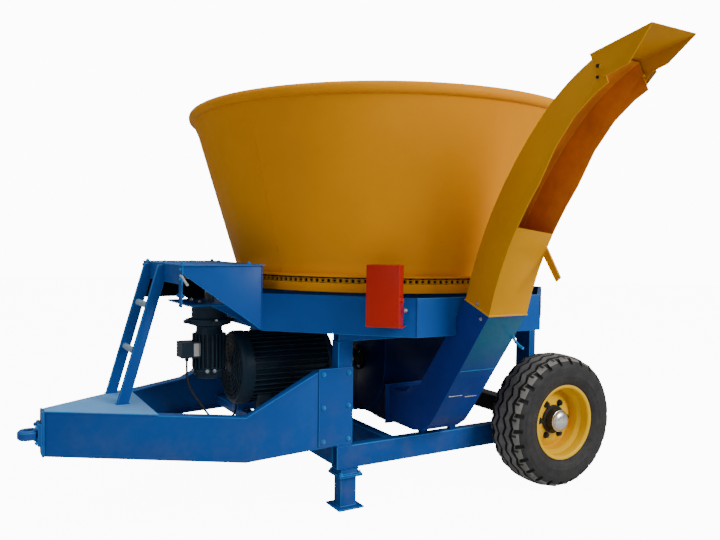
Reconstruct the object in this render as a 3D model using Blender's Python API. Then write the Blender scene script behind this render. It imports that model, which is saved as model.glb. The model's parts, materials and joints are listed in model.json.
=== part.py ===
"""Tub-type bale shredder on a two-wheel trailer, in metres, +Z up.

The machine frame has its origin on the ground under the tub's axis, +X to the rear, the tow eye at -X and the
discharge chute at -Y. The whole machine hangs from one empty that puts the origin at the bottom centre.
"""
import math

import bmesh
import bpy
from mathutils import Matrix, Vector

# Fits
FIT = 0.0003            # gap between two pieces that touch
PIN_PLAY = 0.0008       # radial play of a shaft in its bore
RUN_GAP = 0.006         # gap beside a moving piece

# Tub
TUB_SIDES = 48
TUB_SHEET = 0.004
TUB_BASE_R, TUB_BASE_Z = 0.865, 1.134
TUB_RIM_R, TUB_RIM_Z = 1.165, 2.125
BEAD_OUT, BEAD_HEIGHT = 0.018, 0.058
RING_BAND_WALL = 0.014
RING_PLATE = 0.010
LEDGE_THICKNESS = 0.010
FIN_COUNT = 3
FIN_DEPTH, FIN_THICKNESS, FIN_FOOT_Z, FIN_TOP_Z = 0.07, 0.008, 1.24, 1.82

# Pin ring (roller chain laid round the tub) and its sprocket
LINK_PITCH = 0.03175
CHAIN_STAND_OFF = 0.0446
LINK_COUNT = 2 * round(math.pi * (TUB_BASE_R + CHAIN_STAND_OFF) / LINK_PITCH)
LINK_ROLLER_R = 0.0095
CHAIN_R = LINK_COUNT * LINK_PITCH / (2 * math.pi)
RING_LIP_R = CHAIN_R + 0.0154
CHAIN_INNER_R = CHAIN_R - 0.013
CHAIN_Z, CHAIN_HEIGHT = 1.192, 0.024
CHAIN_LEDGE_GAP = 0.006
SPROCKET_TEETH = 40
SPROCKET_R = SPROCKET_TEETH * LINK_PITCH / (2 * math.pi)
SPROCKET_X = -(CHAIN_R + SPROCKET_R)
SPROCKET_THICKNESS = 0.014
SPROCKET_TOOTH_DEPTH = 0.004
SPROCKET_BOSS_R, SPROCKET_BOSS_Z = 0.055, (CHAIN_Z - 0.035, CHAIN_Z + 0.022)
SPROCKET_SHAFT_R, SPROCKET_SHAFT_RISE, SPROCKET_SHAFT_DROP = 0.025, 0.030, 0.012

# Pan under the tub
PAN_INRADIUS = TUB_BASE_R + 0.101
PAN_BOTTOM_Z, PAN_TOP_Z = 0.930, 1.120
PAN_SHEET = 0.005
PAN_LIP = 0.018
FLOOR_SHEET = 0.006
FLOOR_RING_R, FLOOR_RING_SHEET, FLOOR_RING_TOP_Z = TUB_BASE_R - 0.015, 0.004, 1.195
SLOT_X, SLOT_HALF_Y = (0.09, 0.41), 0.165

# Roller stations: angle of the roller, angle of the skirt panel's normal
STATIONS = (
    ("front_left", 120.4, 135.0),
    ("front_right", -120.4, -135.0),
    ("rear", 0.0, 0.0),
)
ROLLER_R, ROLLER_FLANGE_R = 0.050, 0.0625
ROLLER_INNER, ROLLER_TREAD_END, ROLLER_OUTER = TUB_BASE_R + 0.001, RING_LIP_R + 0.006, RING_LIP_R + 0.016
STUB_R, STUB_COLLAR_R = 0.012, 0.024
STUB_PROUD, STUB_COLLAR_PROUD = 0.018, 0.008
GUARD_WIDTH, GUARD_DEPTH, GUARD_SHEET = 0.160, 0.100, 0.003
GUARD_Z = (0.985, 1.280)
GUARD_FOOT, GUARD_KNOB_R, GUARD_KNOB_BACK, GUARD_KNOB_DROP = 0.016, 0.010, 0.030, 0.020

# Drive housing in front of the pan
HOUSE_HALF_Y, HOUSE_FRONT_X = 0.40, -(PAN_INRADIUS + 0.404)
HOUSE_TOP_Z, HOUSE_NOSE_Z = 1.260, 1.220
HOUSE_SHEET = 0.005
DECK_SHEET = 0.006
DECK_REAR_X = -(PAN_INRADIUS - 0.016)
DECK_EDGE = 0.010
FASCIA_BOTTOM_Z = 1.170
STAY_Y, STAY_WIDTH, STAY_BOTTOM_Z = -0.372, 0.050, 1.060
STAY_PIN_R, STAY_PIN_HALF, STAY_PIN_RISE = 0.009, 0.045, 0.055
MOTOR_PLATE_Z, MOTOR_PLATE = 1.045, 0.010
MOTOR_PLATE_FRONT_X, MOTOR_PLATE_HALF_Y = SPROCKET_X - 0.1733, 0.20
GUSSET_REACH, GUSSET_INSET, GUSSET_HALF = 0.200, 0.012, 0.004

# Upright gear motor: profile rows are radius, height below the motor plate
GEAR_PROFILE = (
    (0.125, 0.000), (0.125, 0.016), (0.095, 0.020), (0.095, 0.078), (0.118, 0.084), (0.118, 0.112),
    (0.070, 0.124), (0.070, 0.150), (0.085, 0.158), (0.085, 0.360), (0.078, 0.366), (0.078, 0.400),
    (0.060, 0.408),
)
GEAR_MOTOR_FINS, GEAR_FIN_R, GEAR_FIN_DROP, GEAR_FIN_HALF = 10, (0.060, 0.093), (0.350, 0.165), 0.003
GEAR_EAR, GEAR_EAR_HALF, GEAR_EAR_DROP = 0.138, 0.022, (0.108, 0.088)
GEAR_TERMINAL_X, GEAR_TERMINAL_HALF_Y = (-0.165, -0.060), 0.055
GEAR_TERMINAL_DROP = (0.290, 0.205)

# Main motor, axis along X
SHAFT_Z = 0.680
MOTOR_R, MOTOR_FIN = 0.182, 0.020
MOTOR_COWL_X = SPROCKET_X + 0.1117
MOTOR_BODY_X = (MOTOR_COWL_X + 0.070, -0.450)
MOTOR_BELL_X = -0.385
MOTOR_FINS = 20
COWL_PROUD, COWL_ROUND, COWL_LAP = 0.004, 0.030, 0.012
BELL_LAP, BELL_RIM, BELL_NECK_R, BELL_NECK = 0.010, 0.018, 0.105, 0.012
SHAFT_SOCKET = 0.030
MOTOR_FOOT_UNDER = 0.090
MOTOR_TERMINAL_X = (MOTOR_COWL_X + 0.210, MOTOR_COWL_X + 0.380)
MOTOR_TERMINAL_Y, MOTOR_TERMINAL_RISE = (0.110, 0.235), (0.060, 0.190)
MOTOR_FOOT_Z = 0.455
MOTOR_FOOT_X = ((MOTOR_COWL_X + 0.120, MOTOR_COWL_X + 0.200), (-0.590, -0.510))
MOTOR_FOOT_Y = (0.120, 0.205)
RAIL_Y, RAIL_HEIGHT = (0.115, 0.195), 0.055
MOTOR_RAIL_X = (MOTOR_COWL_X + 0.095, -0.490)
MOTOR_BEAM_X = ((MOTOR_COWL_X + 0.120, MOTOR_COWL_X + 0.180), (-0.690, -0.630))
MOTOR_BEAM_Z = (0.352, 0.402)

# Cable that hangs from the gear motor's terminal box and runs up to the main motor's; its rows are distance
# behind the sprocket's axis, y, z
CABLE_R, CABLE_STEP = 0.006, 0.030
GLAND_R, GLAND_LENGTH = 0.011, 0.022
GLAND_SIDES = 12
CABLE_ROWS = (
    (-0.1233, 0.000, 0.7324), (-0.1233, 0.000, 0.700), (-0.1213, 0.000, 0.650), (-0.1103, 0.000, 0.600),
    (-0.0873, 0.000, 0.552), (-0.0543, 0.000, 0.505), (-0.0183, 0.001, 0.452), (0.0167, 0.004, 0.410),
    (0.0617, 0.010, 0.380), (0.1147, 0.022, 0.380), (0.1617, 0.045, 0.403), (0.1867, 0.080, 0.432),
    (0.1897, 0.125, 0.463), (0.1867, 0.175, 0.507), (0.1837, 0.215, 0.565), (0.1837, 0.240, 0.630),
    (0.1867, 0.247, 0.695), (0.2037, 0.240, 0.750), (0.2317, 0.220, 0.790), (0.2637, 0.205, 0.805),
    (0.2994, 0.205, 0.805),
)
CABLE_ROUTE = [(SPROCKET_X + back, y, z) for back, y, z in CABLE_ROWS]

# Mill
SHAFT_R = 0.030
MILL_X = (-0.165, 0.440)
MILL_R, MILL_SHEET = 0.315, 0.006
MILL_FLANGE, MILL_FLANGE_SHEET = 0.030, 0.008
MILL_BORE_PLAY = 0.006
FAN_X, FAN_R, FAN_BLADES = (-0.130, 0.045), 0.235, 4
DISC_X = (0.120, 0.205, 0.290, 0.375)
DISC_R, DISC_THICKNESS = 0.200, 0.012
HAMMER_TIP_R, HAMMER_ROOT_R, HAMMER_WIDTH, HAMMER_THICKNESS = 0.298, 0.150, 0.050, 0.010
HAMMERS_PER_DISC = 4
FAN_BLADE_HALF = 0.005
BEARING_R, BEARING_DEPTH, BEARING_FLANGE, BEARING_NECK_R = 0.075, 0.040, 0.014, 0.051
COUPLING_X, COUPLING_R, COUPLING_HUB_R = (-0.345, -0.235), 0.075, 0.056
COUPLING_BELT_HALF, COUPLING_SLOPE = 0.020, 0.002
SHAFT_END = 0.020

# Discharge: duct section is DUCT_X wide and DUCT_DEPTH deep, its walls lie inside the outer size
DUCT_X = (-0.160, 0.075)
DUCT_SHEET = 0.005
DUCT_PASSAGE = 0.003
SPOUT_Z = (0.368, 0.556)
SPOUT_END_Y = -0.345
SPOUT_COLLAR, SPOUT_COLLAR_SHEET = 0.019, 0.006
FRAME_HALF_Y = 0.583
DUCT_ELBOW_Y = -(FRAME_HALF_Y + 0.017)
# Elbow rows run up the duct: place beyond the elbow's start, height above the wall's foot
ELBOW_LOW = ((0.000, 0.000), (0.085, 0.018), (0.155, 0.064), (0.206, 0.127))
ELBOW_HIGH = ((-0.120, 0.000), (-0.070, 0.015), (-0.030, 0.048), (0.055, 0.072))
ELBOW_LEAN = (0.79, 0.61)
DUCT_TOP_UP = (-(PAN_INRADIUS + 0.064), 1.111)
DUCT_TOP_LOW = (DUCT_TOP_UP[0] - 0.176, DUCT_TOP_UP[1] - 0.066)
DUCT_FLANGE, DUCT_FLANGE_SHEET = 0.004, 0.006
DUCT_FEET_X, DUCT_FOOT_HALF = (-0.060, 0.140), 0.022
DUCT_FEET_Y = (-(FRAME_HALF_Y - 0.018), -(FRAME_HALF_Y - 0.048))
DUCT_BRACKET = 0.012

# Chute: arcs of its outer wall are start angle from upright, end angle, radius
CHUTE_ARCS = ((16.0, 46.0, 1.860), (46.0, 68.0, 0.900))
CHUTE_SHEET = 0.004
CHUTE_DEPTH = 0.186
CHUTE_CLOSED_TO = 30.0
CHUTE_STEPS = 8
# Lug corners run from the duct's upper corner: along Y, up
LUG_OUTLINE = (
    (-0.225, 0.254), (-0.245, 0.284), (-0.300, 0.261), (-0.388, 0.125), (-0.362, 0.105), (-0.282, 0.219),
)
LUG_THICKNESS = 0.008
PIVOT_DROP = 0.062
PIVOT_PIN_R = 0.008
CAP_TURN = 80.0
CAP_LENGTH, CAP_OVERLAP, CAP_CLEAR = 0.235, 0.050, 0.008
CAP_CHEEK, CAP_TIP_CHEEK = 0.110, 0.100
CAP_FOOT, CAP_NOSE = 0.030, 0.035
CAP_SHEET = 0.003
CAP_PIN_PROUD, CAP_PIN_INSIDE = 0.008, 0.004

# Frame
FRAME_FRONT_X = -(PAN_INRADIUS - 0.346)
BEAM_Z, BEAM_WIDTH = (0.210, 0.330), 0.060
BEAM_X = (FRAME_FRONT_X, 0.800)
POST_X, POST_WIDTH = (FRAME_FRONT_X + 0.001, FRAME_FRONT_X + 0.085), 0.070
REAR_POST_X, REAR_POST_WIDTH = (0.700, 0.747), 0.120
TOP_RAIL_HEIGHT, REAR_RAIL_HEIGHT = 0.060, 0.070
CROSS_X = ((FRAME_FRONT_X + 0.020, FRAME_FRONT_X + 0.080), (-0.300, -0.240))
TUBE_WALL = 0.005

# Drawbar: path rows are x, outer half width, bottom z, top z
DRAWBAR_PATH = (
    (-1.945, 0.040, 0.320, 0.538),
    (-1.115, FRAME_HALF_Y, 0.320, 0.538),
    (FRAME_FRONT_X - 0.110, FRAME_HALF_Y, 0.334, 0.728),
    (FRAME_FRONT_X + 0.001 - FIT, FRAME_HALF_Y, 0.338, 0.738),
)
DRAWBAR_WALL, DRAWBAR_FLANGE = 0.008, 0.060
TOP_PLATE, TOP_PLATE_REAR_X = 0.006, -1.470
CLAMP_X, CLAMP_Z, CLAMP_PLATE = (FRAME_FRONT_X - 0.110, FRAME_FRONT_X + 0.085), (0.345, 0.742), 0.008
NOSE_PLATE, EYE_TIP_X, EYE_R, EYE_HOLE_R, EYE_THICKNESS, EYE_Z = 0.012, -2.063, 0.050, 0.024, 0.046, 0.430
EYE_PLATE, EYE_PLATE_HALF, EYE_SHANK_R, EYE_ROUND = 0.016, 0.055, 0.022, 0.008
NOSE_OVERHANG = 0.010

# Ladder
LADDER_FOOT_X, LADDER_Y = HOUSE_FRONT_X - 0.210, (-0.060, 0.270)
LADDER_HEAD_DROP = 0.004
LADDER_RAIL_WIDTH, LADDER_RAIL_THICKNESS = 0.055, 0.028
RUNG_Z, RUNG_R = (0.800, 1.040), 0.017

# Parking legs
LEG_X, LEG_INSET = FRAME_FRONT_X + 0.075, 0.045
LEG_STUB, LEG_SIZE = 0.100, (0.092, 0.074)
LEG_FLANGE, LEG_FLANGE_SIZE, LEG_FLANGE_Z = 0.010, 0.136, 0.178
FOOT_PLATE, FOOT_SIZE = 0.010, 0.150

# Running gear
WHEEL_X, WHEEL_Y, WHEEL_R = 0.679, FRAME_HALF_Y + 0.206, 0.380
TYRE_SECTORS = 48
TYRE_HALF_BEAD = 0.105
BEAD_SEAT_R = 0.1975
RIM_FLANGE_R, RIM_SHEET = 0.2135, 0.005
HUB_BORE_R, SPINDLE_R, COLLAR_R = 0.0260, 0.0252, 0.040
AXLE_END_Y, COLLAR_GAP, SPINDLE_OUT = FRAME_HALF_Y + 0.027, 0.064, 0.055
LUG_DEPTH = 0.012
WELL_R, WELL_HALF, SEAT_HALF = 0.178, 0.030, 0.050
# Disc and hub rows: radius, distance out from the wheel's middle plane
DISC_ROWS = (
    (0.060, 0.006), (0.115, 0.006), (0.160, -0.024), (0.176, -0.026), (0.176, -0.018), (0.163, -0.016),
    (0.118, 0.014), (0.060, 0.014),
)
HUB_ROWS = (
    (0.0, 0.102), (0.032, 0.096), (0.050, 0.070), (0.046, 0.058), (0.046, 0.0263), (0.082, 0.0263),
    (0.082, 0.0143), (0.0595, 0.0143), (0.0595, -0.0625), (HUB_BORE_R, -0.0625), (HUB_BORE_R, 0.058),
    (0.0, 0.058),
)

COLOURS = {
    # name: (red, green, blue, roughness, metallic)
    "yellow_paint": (0.56, 0.27, 0.010, 0.42, 0.0),
    "blue_paint": (0.008, 0.14, 0.47, 0.42, 0.0),
    "red_paint": (0.45, 0.025, 0.015, 0.45, 0.0),
    "motor_paint": (0.020, 0.045, 0.075, 0.50, 0.0),
    "black_paint": (0.015, 0.015, 0.017, 0.50, 0.0),
    "bare_steel": (0.36, 0.35, 0.34, 0.38, 1.0),
    "rubber": (0.022, 0.022, 0.021, 0.85, 0.0),
}


def clear_scene():
    """Take away whatever the scene holds."""
    for item in list(bpy.data.objects):
        bpy.data.objects.remove(item, do_unlink=True)


def paint(name):
    """One Principled material for each finish."""
    found = bpy.data.materials.get(name)
    if found:
        return found
    red, green, blue, roughness, metallic = COLOURS[name]
    made = bpy.data.materials.new(name)
    made.use_nodes = True
    shader = made.node_tree.nodes["Principled BSDF"]
    shader.inputs["Base Color"].default_value = (red, green, blue, 1.0)
    shader.inputs["Roughness"].default_value = roughness
    shader.inputs["Metallic"].default_value = metallic
    made.diffuse_color = (red, green, blue, 1.0)
    return made


def empty_at(name, location, rotation=(0.0, 0.0, 0.0), parent=None):
    """An empty that carries pieces on an axis."""
    holder = bpy.data.objects.new(name, None)
    bpy.context.collection.objects.link(holder)
    holder.location = location
    holder.rotation_euler = rotation
    holder.parent = parent
    return holder


def solid_from(rings, ring_closed=True, wrap=False):
    """Skin a list of point loops into one closed solid; wrap joins the last loop to the first."""
    mesh = bmesh.new()
    rows = [[mesh.verts.new(point) for point in ring] for ring in rings]
    pairs = list(zip(rows, rows[1:])) + ([(rows[-1], rows[0])] if wrap else [])
    for low, high in pairs:
        count = max(len(low), len(high))
        for i in range(count if ring_closed else count - 1):
            j = (i + 1) % count
            if len(low) == 1:
                mesh.faces.new((low[0], high[j], high[i]))
            elif len(high) == 1:
                mesh.faces.new((low[i], low[j], high[0]))
            else:
                mesh.faces.new((low[i], low[j], high[j], high[i]))
    if not wrap:
        for row in (rows[0], rows[-1]):
            if len(row) > 1:
                mesh.faces.new(row)
    bmesh.ops.recalc_face_normals(mesh, faces=mesh.faces)
    data = bpy.data.meshes.new("solid")
    mesh.to_mesh(data)
    mesh.free()
    made = bpy.data.objects.new("solid", data)
    bpy.context.collection.objects.link(made)
    return made


def place(axis, along, a, b):
    """A point whose outline coordinates a, b lie across the axis."""
    return {"X": (along, a, b), "Y": (a, along, b), "Z": (a, b, along)}[axis]


def prism(outline, axis, low, high):
    """Extrude an outline along an axis from low to high."""
    return solid_from([[place(axis, end, a, b) for a, b in outline] for end in (low, high)])


def box(x, y, z):
    """A box between pairs of limits, in any order."""
    x, y, z = sorted(x), sorted(y), sorted(z)
    return prism(((x[0], y[0]), (x[1], y[0]), (x[1], y[1]), (x[0], y[1])), "Z", z[0], z[1])


def turned(profile, sides, axis="Z", centre=(0.0, 0.0), phase=0.0, ring=True):
    """Turn rows of radius, height about an axis; a ring closes on itself, the others end on the axis."""
    rings = []
    for radius, height in profile:
        if radius < 1e-6:
            rings.append([place(axis, height, centre[0], centre[1])])
            continue
        turn = [phase + 2 * math.pi * k / sides for k in range(sides)]
        rings.append([place(axis, height, centre[0] + radius * math.cos(t), centre[1] + radius * math.sin(t))
                      for t in turn])
    return solid_from(rings, wrap=ring)


def rod(radius, axis, low, high, centre, sides=20):
    """A plain round bar."""
    turn = [2 * math.pi * (k + 0.5) / sides for k in range(sides)]
    outline = [(centre[0] + radius * math.cos(t), centre[1] + radius * math.sin(t)) for t in turn]
    return prism(outline, axis, low, high)


def boolean(target, tools, operation):
    """Join the tools to the target, or cut them out of it, and drop them."""
    for tool in tools:
        step = target.modifiers.new(operation, "BOOLEAN")
        step.operation = operation
        step.solver = "EXACT"
        step.object = tool
    bpy.context.view_layer.update()
    seen = target.evaluated_get(bpy.context.evaluated_depsgraph_get())
    result = bpy.data.meshes.new_from_object(seen)
    target.modifiers.clear()
    target.data = result
    for tool in tools:
        bpy.data.objects.remove(tool, do_unlink=True)
    clean = bmesh.new()
    clean.from_mesh(result)
    bmesh.ops.remove_doubles(clean, verts=clean.verts, dist=0.00002)
    bmesh.ops.dissolve_degenerate(clean, edges=clean.edges, dist=0.00002)
    clean.to_mesh(result)
    clean.free()
    return target


def fuse(target, *tools):
    return boolean(target, tools, "UNION")


def cut(target, *tools):
    return boolean(target, tools, "DIFFERENCE")


def move(piece, matrix):
    """Move the points of a piece."""
    piece.data.transform(matrix)
    if matrix.determinant() < 0:
        piece.data.flip_normals()
    return piece


def finish(piece, name, finish_name, parent):
    """Name a piece, paint it and hang it from its carrier."""
    piece.name = name
    piece.data.name = name
    piece.data.materials.clear()
    piece.data.materials.append(paint(finish_name))
    for face in piece.data.polygons:
        face.material_index = 0
    piece.data.shade_smooth()
    piece.data.set_sharp_from_angle(angle=math.radians(32))
    piece.parent = parent
    return piece


def cone_r(z):
    """Outer radius of the tub's wall at a height."""
    share = (z - TUB_BASE_Z) / (TUB_RIM_Z - TUB_BASE_Z)
    return TUB_BASE_R + (TUB_RIM_R - TUB_BASE_R) * share


def tube(x, y, z, axis, wall=TUBE_WALL):
    """A square hollow section, open at both ends along its axis."""
    limits = {"X": sorted(x), "Y": sorted(y), "Z": sorted(z)}
    a, b = [limits[key] for key in "XYZ" if key != axis]
    low, high = limits[axis]
    outer = ((a[0], b[0]), (a[1], b[0]), (a[1], b[1]), (a[0], b[1]))
    inner = ((a[0] + wall, b[0] + wall), (a[1] - wall, b[0] + wall), (a[1] - wall, b[1] - wall),
             (a[0] + wall, b[1] - wall))
    rings = [[place(axis, low, p, q) for p, q in outer], [place(axis, high, p, q) for p, q in outer],
             [place(axis, high, p, q) for p, q in inner], [place(axis, low, p, q) for p, q in inner]]
    return solid_from(rings, wrap=True)


def build_tub(carrier):
    """Conical wall with rim bead, base ring open below, and fins that drag the bale round."""
    seat = CHAIN_INNER_R - FIT
    ledge_low = CHAIN_Z + CHAIN_HEIGHT / 2 + CHAIN_LEDGE_GAP
    ledge_top = ledge_low + LEDGE_THICKNESS
    lip_top = CHAIN_Z - CHAIN_HEIGHT / 2 - FIT
    bead_low = TUB_RIM_Z - BEAD_HEIGHT
    inner_foot = TUB_BASE_R - TUB_SHEET
    channel_top = lip_top - RING_PLATE
    profile = (
        (inner_foot, TUB_BASE_Z),
        (TUB_BASE_R + 0.004, TUB_BASE_Z),
        (cone_r(channel_top) + 0.002, channel_top),
        (RING_LIP_R - RING_BAND_WALL, channel_top),
        (RING_LIP_R - RING_BAND_WALL, TUB_BASE_Z),
        (RING_LIP_R, TUB_BASE_Z),
        (RING_LIP_R, lip_top),
        (seat, lip_top),
        (seat, ledge_low),
        (RING_LIP_R, ledge_low),
        (RING_LIP_R, ledge_top),
        (cone_r(ledge_top), ledge_top),
        (cone_r(bead_low), bead_low),
        (TUB_RIM_R + BEAD_OUT, bead_low + BEAD_HEIGHT * 0.3),
        (TUB_RIM_R + BEAD_OUT, TUB_RIM_Z - BEAD_HEIGHT * 0.15),
        (TUB_RIM_R, TUB_RIM_Z),
        (TUB_RIM_R - TUB_SHEET, TUB_RIM_Z),
    )
    wall = turned(profile, TUB_SIDES)
    fins = []
    for k in range(FIN_COUNT):
        outline = (
            (cone_r(FIN_FOOT_Z) - 0.002, FIN_FOOT_Z),
            (cone_r(FIN_FOOT_Z) - FIN_DEPTH, FIN_FOOT_Z + FIN_DEPTH * 0.5),
            (cone_r(FIN_TOP_Z) - FIN_DEPTH, FIN_TOP_Z - FIN_DEPTH * 0.5),
            (cone_r(FIN_TOP_Z) - 0.002, FIN_TOP_Z),
        )
        fin = prism(outline, "Y", -FIN_THICKNESS / 2, FIN_THICKNESS / 2)
        fins.append(move(fin, Matrix.Rotation(2 * math.pi * (k + 0.25) / FIN_COUNT, 4, "Z")))
    finish(fuse(wall, *fins), "tub_wall", "yellow_paint", carrier)


def build_pin_ring(carrier):
    """Rollers and links of the chain as one notched ring; a roller stands at each pitch, the first at +X."""
    outer = []
    crest = CHAIN_R + LINK_ROLLER_R * 0.85
    root = CHAIN_R - LINK_ROLLER_R * 0.70
    for k in range(LINK_COUNT):
        step = 2 * math.pi / LINK_COUNT
        outer.append((crest, k * step))
        outer.append((root, (k + 0.5) * step))
    inner = [(CHAIN_INNER_R, 2 * math.pi * k / TUB_SIDES) for k in range(TUB_SIDES)]
    low, high = CHAIN_Z - CHAIN_HEIGHT / 2, CHAIN_Z + CHAIN_HEIGHT / 2
    ring = prism([(r * math.cos(t), r * math.sin(t)) for r, t in outer], "Z", low, high)
    bore = prism([(r * math.cos(t), r * math.sin(t)) for r, t in inner], "Z", low - 0.01, high + 0.01)
    finish(cut(ring, bore), "tub_pin_ring", "yellow_paint", carrier)


def build_sprocket(carrier):
    """Toothed disc on its upright shaft; modelled about its own axis, a gap between teeth faces the tub."""
    step = 2 * math.pi / SPROCKET_TEETH
    tip = SPROCKET_R + LINK_ROLLER_R * 0.45
    root = SPROCKET_R - LINK_ROLLER_R - SPROCKET_TOOTH_DEPTH
    outline = []
    for k in range(SPROCKET_TEETH):
        for share, radius in ((-0.30, root), (-0.09, tip), (0.09, tip), (0.30, root)):
            turn = (k + 0.5 + share) * step
            outline.append((radius * math.cos(turn), radius * math.sin(turn)))
    disc = prism(outline, "Z", CHAIN_Z - SPROCKET_THICKNESS / 2, CHAIN_Z + SPROCKET_THICKNESS / 2)
    boss = rod(SPROCKET_BOSS_R, "Z", *SPROCKET_BOSS_Z, (0, 0), 24)
    shaft = rod(SPROCKET_SHAFT_R, "Z", MOTOR_PLATE_Z - SPROCKET_SHAFT_DROP, CHAIN_Z + SPROCKET_SHAFT_RISE,
                (0, 0), 20)
    finish(fuse(disc, boss, shaft), "drive_sprocket", "bare_steel", carrier)


def station_matrix(turn):
    """Turns a piece modelled at +X to a station's angle."""
    return Matrix.Rotation(math.radians(turn), 4, "Z")


def skirt_distance(roller_turn, normal_turn):
    """Distance along the roller's ray to the outside of the skirt."""
    return PAN_INRADIUS / math.cos(math.radians(roller_turn - normal_turn))


def build_pan(root):
    """Octagonal skirt with lips, the stub axles of its rollers, and the octagonal floor with its ring."""
    grow = 1 / math.cos(math.radians(22.5))
    inside = PAN_INRADIUS - PAN_SHEET
    lip = PAN_INRADIUS - PAN_LIP
    profile = (
        (PAN_INRADIUS, PAN_BOTTOM_Z), (PAN_INRADIUS, PAN_TOP_Z), (lip, PAN_TOP_Z), (lip, PAN_TOP_Z - PAN_SHEET),
        (inside, PAN_TOP_Z - PAN_SHEET), (inside, PAN_BOTTOM_Z + PAN_SHEET), (lip, PAN_BOTTOM_Z + PAN_SHEET),
        (lip, PAN_BOTTOM_Z),
    )
    skirt = turned([(r * grow, z) for r, z in profile], 8, phase=math.radians(22.5))
    roller_z = TUB_BASE_Z - FIT - ROLLER_R
    stubs = []
    for _, roller_turn, normal_turn in STATIONS:
        wall = skirt_distance(roller_turn, normal_turn)
        stub = rod(STUB_R, "X", ROLLER_INNER - STUB_PROUD / 2, wall + STUB_PROUD, (0, roller_z), 12)
        collar = rod(STUB_COLLAR_R, "X", ROLLER_OUTER + FIT, wall + STUB_COLLAR_PROUD, (0, roller_z), 12)
        stubs.append(move(fuse(stub, collar), station_matrix(roller_turn)))
    skirt = cut(skirt, duct_shell(duct_sections(-DUCT_PASSAGE), -DUCT_PASSAGE))
    finish(fuse(skirt, *stubs), "pan_skirt", "blue_paint", root)

    low = PAN_BOTTOM_Z + PAN_SHEET + FIT
    half = (inside - FIT) * grow
    corners = [(half * math.cos(math.radians(22.5 + 45 * k)), half * math.sin(math.radians(22.5 + 45 * k)))
               for k in range(8)]
    floor = prism(corners, "Z", low, low + FLOOR_SHEET)
    slot = box(SLOT_X, (-SLOT_HALF_Y, SLOT_HALF_Y), (low - 0.01, low + 0.03))
    ring_in = FLOOR_RING_R - FLOOR_RING_SHEET
    ring = turned(((ring_in, low + 0.001), (FLOOR_RING_R, low + 0.001), (FLOOR_RING_R, FLOOR_RING_TOP_Z),
                   (ring_in, FLOOR_RING_TOP_Z)), 48)
    floor = cut(floor, slot, duct_shell(duct_sections(-DUCT_PASSAGE), -DUCT_PASSAGE))
    finish(fuse(floor, ring), "pan_floor", "blue_paint", root)


def build_rollers(root):
    """One flanged roller for each station, modelled along its own axis."""
    roller_z = TUB_BASE_Z - FIT - ROLLER_R
    for name, roller_turn, _ in STATIONS:
        carrier = empty_at(f"roller_axis_{name}", (0, 0, roller_z), (0, 0, math.radians(roller_turn)), root)
        bore = STUB_R + PIN_PLAY
        roller = turned(((bore, ROLLER_INNER), (ROLLER_R, ROLLER_INNER), (ROLLER_R, ROLLER_TREAD_END),
                         (ROLLER_FLANGE_R, ROLLER_TREAD_END + 0.002), (ROLLER_FLANGE_R, ROLLER_OUTER),
                         (bore, ROLLER_OUTER)), 20, "X", phase=math.pi / 2)
        finish(roller, f"tub_roller_{name}", "bare_steel", carrier)


def build_guards(root):
    """Sheet cover outside each roller station, open towards the skirt and at its foot."""
    for name, roller_turn, normal_turn in STATIONS:
        back = PAN_INRADIUS + FIT
        front = back + GUARD_DEPTH
        half = GUARD_WIDTH / 2
        low, high = GUARD_Z
        shell = box((back, front), (-half, half), (low, high))
        room = box((back - 0.02, front - GUARD_SHEET), (-half + GUARD_SHEET, half - GUARD_SHEET),
                   (low - 0.02, high - GUARD_SHEET))
        shell = cut(shell, room)
        foot = box((back + GUARD_SHEET, front - GUARD_SHEET / 2), (half - 0.001, half + GUARD_FOOT),
                   (low, low + GUARD_SHEET))
        knob = rod(GUARD_KNOB_R, "Y", half - 0.001, half + GUARD_FOOT,
                   (front - GUARD_KNOB_BACK, (low + high) / 2 - GUARD_KNOB_DROP), 12)
        offset = skirt_distance(roller_turn, normal_turn) * math.sin(math.radians(roller_turn - normal_turn))
        shell = fuse(shell, foot, knob)
        if offset < 0:
            move(shell, Matrix.Diagonal((1, -1, 1, 1)))
        move(shell, station_matrix(normal_turn) @ Matrix.Translation((0, offset, 0)))
        finish(shell, f"roller_guard_{name}", "red_paint", root)


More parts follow.
